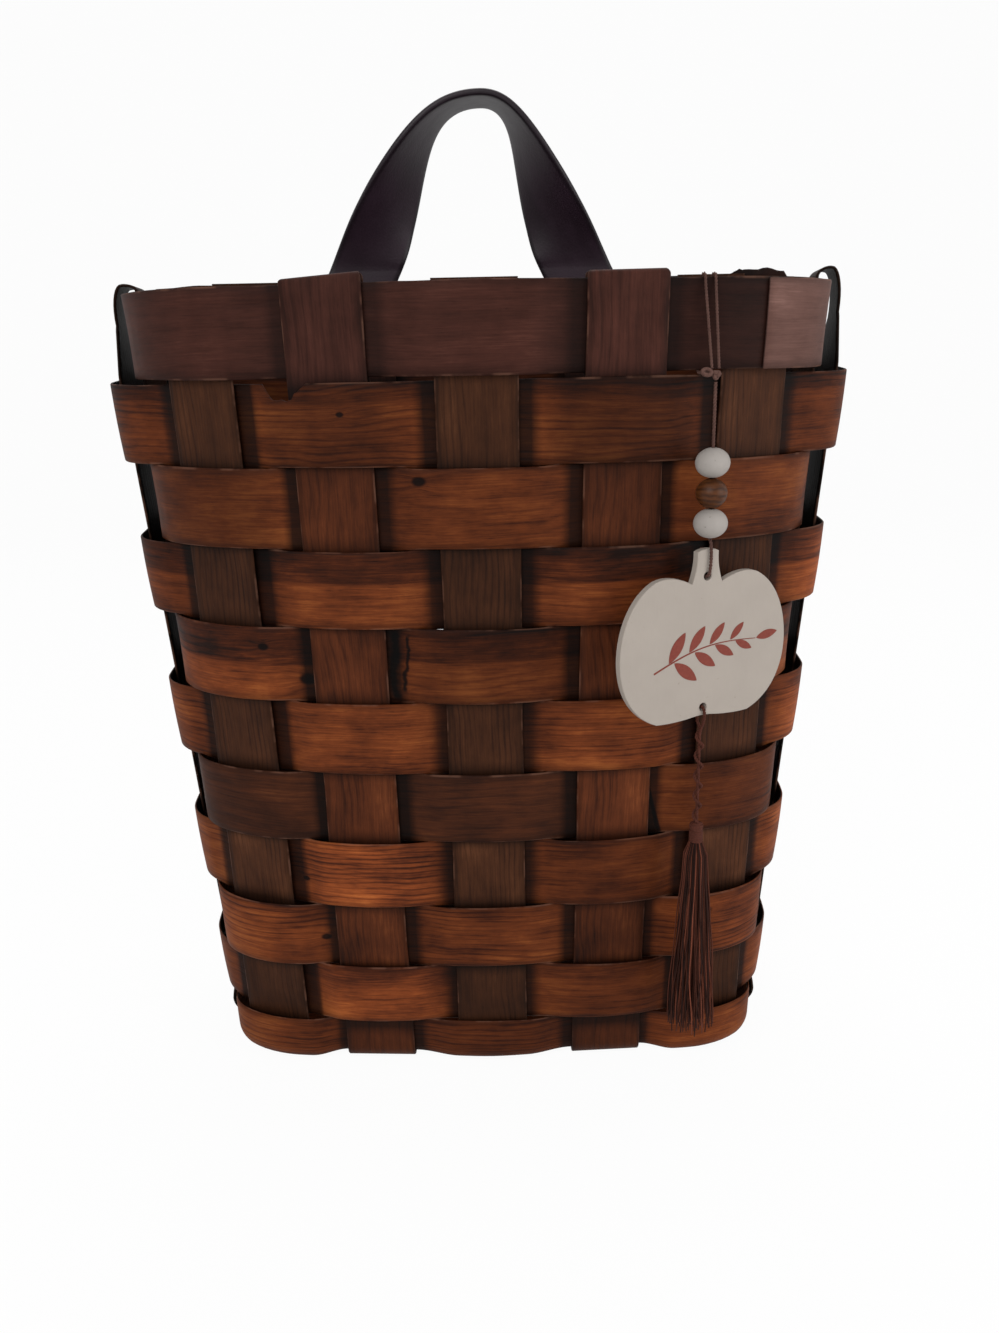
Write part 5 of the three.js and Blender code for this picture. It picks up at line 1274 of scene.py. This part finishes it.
# The whole strap from foot to foot: its section is flat with rounded edges, its width along the
# half width of each station, its faces square to it.
def strapPiece():
    (rightArch, rightTail), (leftArch, leftTail) = strapSide(1), strapSide(-1)
    stations = leftTail[::-1] + leftArch[::-1] + rightArch[1:] + rightTail
    middle, half = (np.array([station[k] for station in stations]) for k in (0, 1))
    for n in range(1, len(half)):
        if half[n] @ half[n - 1] < 0:
            half[n] *= -1
    out, run = facingOf(np.gradient(middle, axis=0), half) * st.thickness / 2, runAlong(middle)
    shares = np.array([1, 0.985, 0.95, 0.85, 0.6, 0.3, 0, -0.3, -0.6, -0.85, -0.95, -0.985, -1])
    body = np.array([0.3, 0.62, 0.9, 1, 1, 1, 1, 1, 1, 1, 0.9, 0.62, 0.3])
    outer, inner = ([middle + half * s + out * k * way for s, k in zip(shares, body)] for way in (1, -1))
    uvs = [np.stack([run, s * np.full(len(run), st.width / 2)], 1) for s in shares]
    replaced = ("strap_arch", "strap_end_left", "strap_end_right")
    piece = shellPiece("strap", outer, inner, uvs, leather, None, replaced, "leather")
    hinge = (vec([st.offset, strapY, hingeZ]) + shift) * mm
    hinge - [0, 0, st.blendBelow * mm]
    hinge + [0, 0, st.blendAbove * mm]
    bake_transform(piece)


strapPiece()
headSeat = strapY - st.thickness / 2 - b.seatGap
burrSeat = b.backPlane + b.stakeThickness / 2 + b.seatGap / 2
dome = [(st.head * math.sin(a), headSeat - st.headHeight * math.cos(a)) for a in np.linspace(0, np.pi / 2, 9)]
shaft = [
    (st.rivet, headSeat), (st.rivet, burrSeat), (st.burr, burrSeat), (st.burr, burrSeat + 0.4),
    (st.burr * 0.8, burrSeat + st.burrThickness), (0, burrSeat + st.burrThickness),
]
for k in range(4):
    side, n = (-1, 1)[k // 2], k % 2
    z = backRim - st.first - n * st.rivetPitch
    place = vec([st.offset + side * (st.halfSpan + (hingeZ - z) * math.tan(slope)), 0, z])
    turnedPiece(f"rivet{k + 1}", dome + shaft, place, 24, brass, "basket", (f"rivet_{k + 1}",), "rivet", axis="y")
print("strap fixed")


# The floor runs back and curves up as a quarter circle. Sizes in metres, drop in millimetres.
floor = dict(reach=6.0, rise=1.6, back=2.2, top=5.0, steps=24, drop=0.2, grey=(0.86, 0.86, 0.86, 1), glow=0.95)
lamps = dict(
    keyLight=dict(place=(-0.7, -1.6, 1.3), aim=(0, 0, 0.2), size=1.2, power=19),
    fillLight=dict(place=(1.6, -0.9, 0.6), aim=(0.05, 0, 0.2), size=1.3, power=15),
    topLight=dict(place=(0.1, 0.6, 1.9), aim=(0, 0, 0.3), size=1.2, power=12),
)


def seenBy(wire):  # 1 for what the camera sees straight, mirrored or through
    return sum((wire.add("LightPath", output=k) for k in (3, 6)), wire.add("LightPath")).sat()


def addFloor():
    f = Sizes(**floor)
    a = np.linspace(0, np.pi / 2, f.steps)
    y = np.concatenate([[-f.reach], f.back + f.rise * np.sin(a), [f.back + f.rise]])
    z = np.concatenate([[0], f.rise * (1 - np.cos(a)), [f.top]])
    points = np.vstack([np.stack([np.full(len(y), x), y, z], 1) for x in (-f.reach, f.reach)]) / mm
    points[:, 2] -= f.drop
    count = len(y)
    faces = [[k, k + count, k + count + 1, k + 1] for k in range(count - 1)]
    material, wire, shader = finish("paleFloor", roughness=0.9, specular=0.0)
    shader.inputs["Base Color"].default_value = f.grey
    glow = wire.add("Emission", None, {"Color": (1, 1, 1, 1), "Strength": 1.0})
    mixed = wire.add("MixShader", None, {0: seenBy(wire) * f.glow, 1: Wire(wire.tree, shader.outputs[0]), 2: glow})
    output = next(n for n in wire.tree.nodes if n.type == "OUTPUT_MATERIAL")
    wire.tree.links.new(mixed.socket, output.inputs["Surface"])
    setDown("floor", points, faces, material, None)


def addSky():  # white, and half as bright for what only lights
    world = bpy.data.worlds.new("studio")
    bpy.context.scene.world = world
    world.use_nodes = True
    background = next(n for n in world.node_tree.nodes if n.type == "BACKGROUND")
    level = seenBy(Wire(world.node_tree)) * 0.5 + 0.5
    world.node_tree.links.new(level.socket, background.inputs["Strength"])
    background.inputs["Color"].default_value = (1, 1, 1, 1)


def addLamp(name, place, aim, size, power):
    data = bpy.data.lights.new(name, "AREA")
    data.energy, data.size = power, size
    lamp = bpy.data.objects.new(name, data)
    bpy.context.scene.collection.objects.link(lamp)
    lamp.location = place
    lamp.rotation_euler = Vector(np.array(aim) - np.array(place)).to_track_quat("-Z", "Y").to_euler()


addFloor()
addSky()
for name, lamp in lamps.items():
    addLamp(name, **lamp)
bpy.context.scene.view_settings.view_transform = "Standard"
print("stage lit")
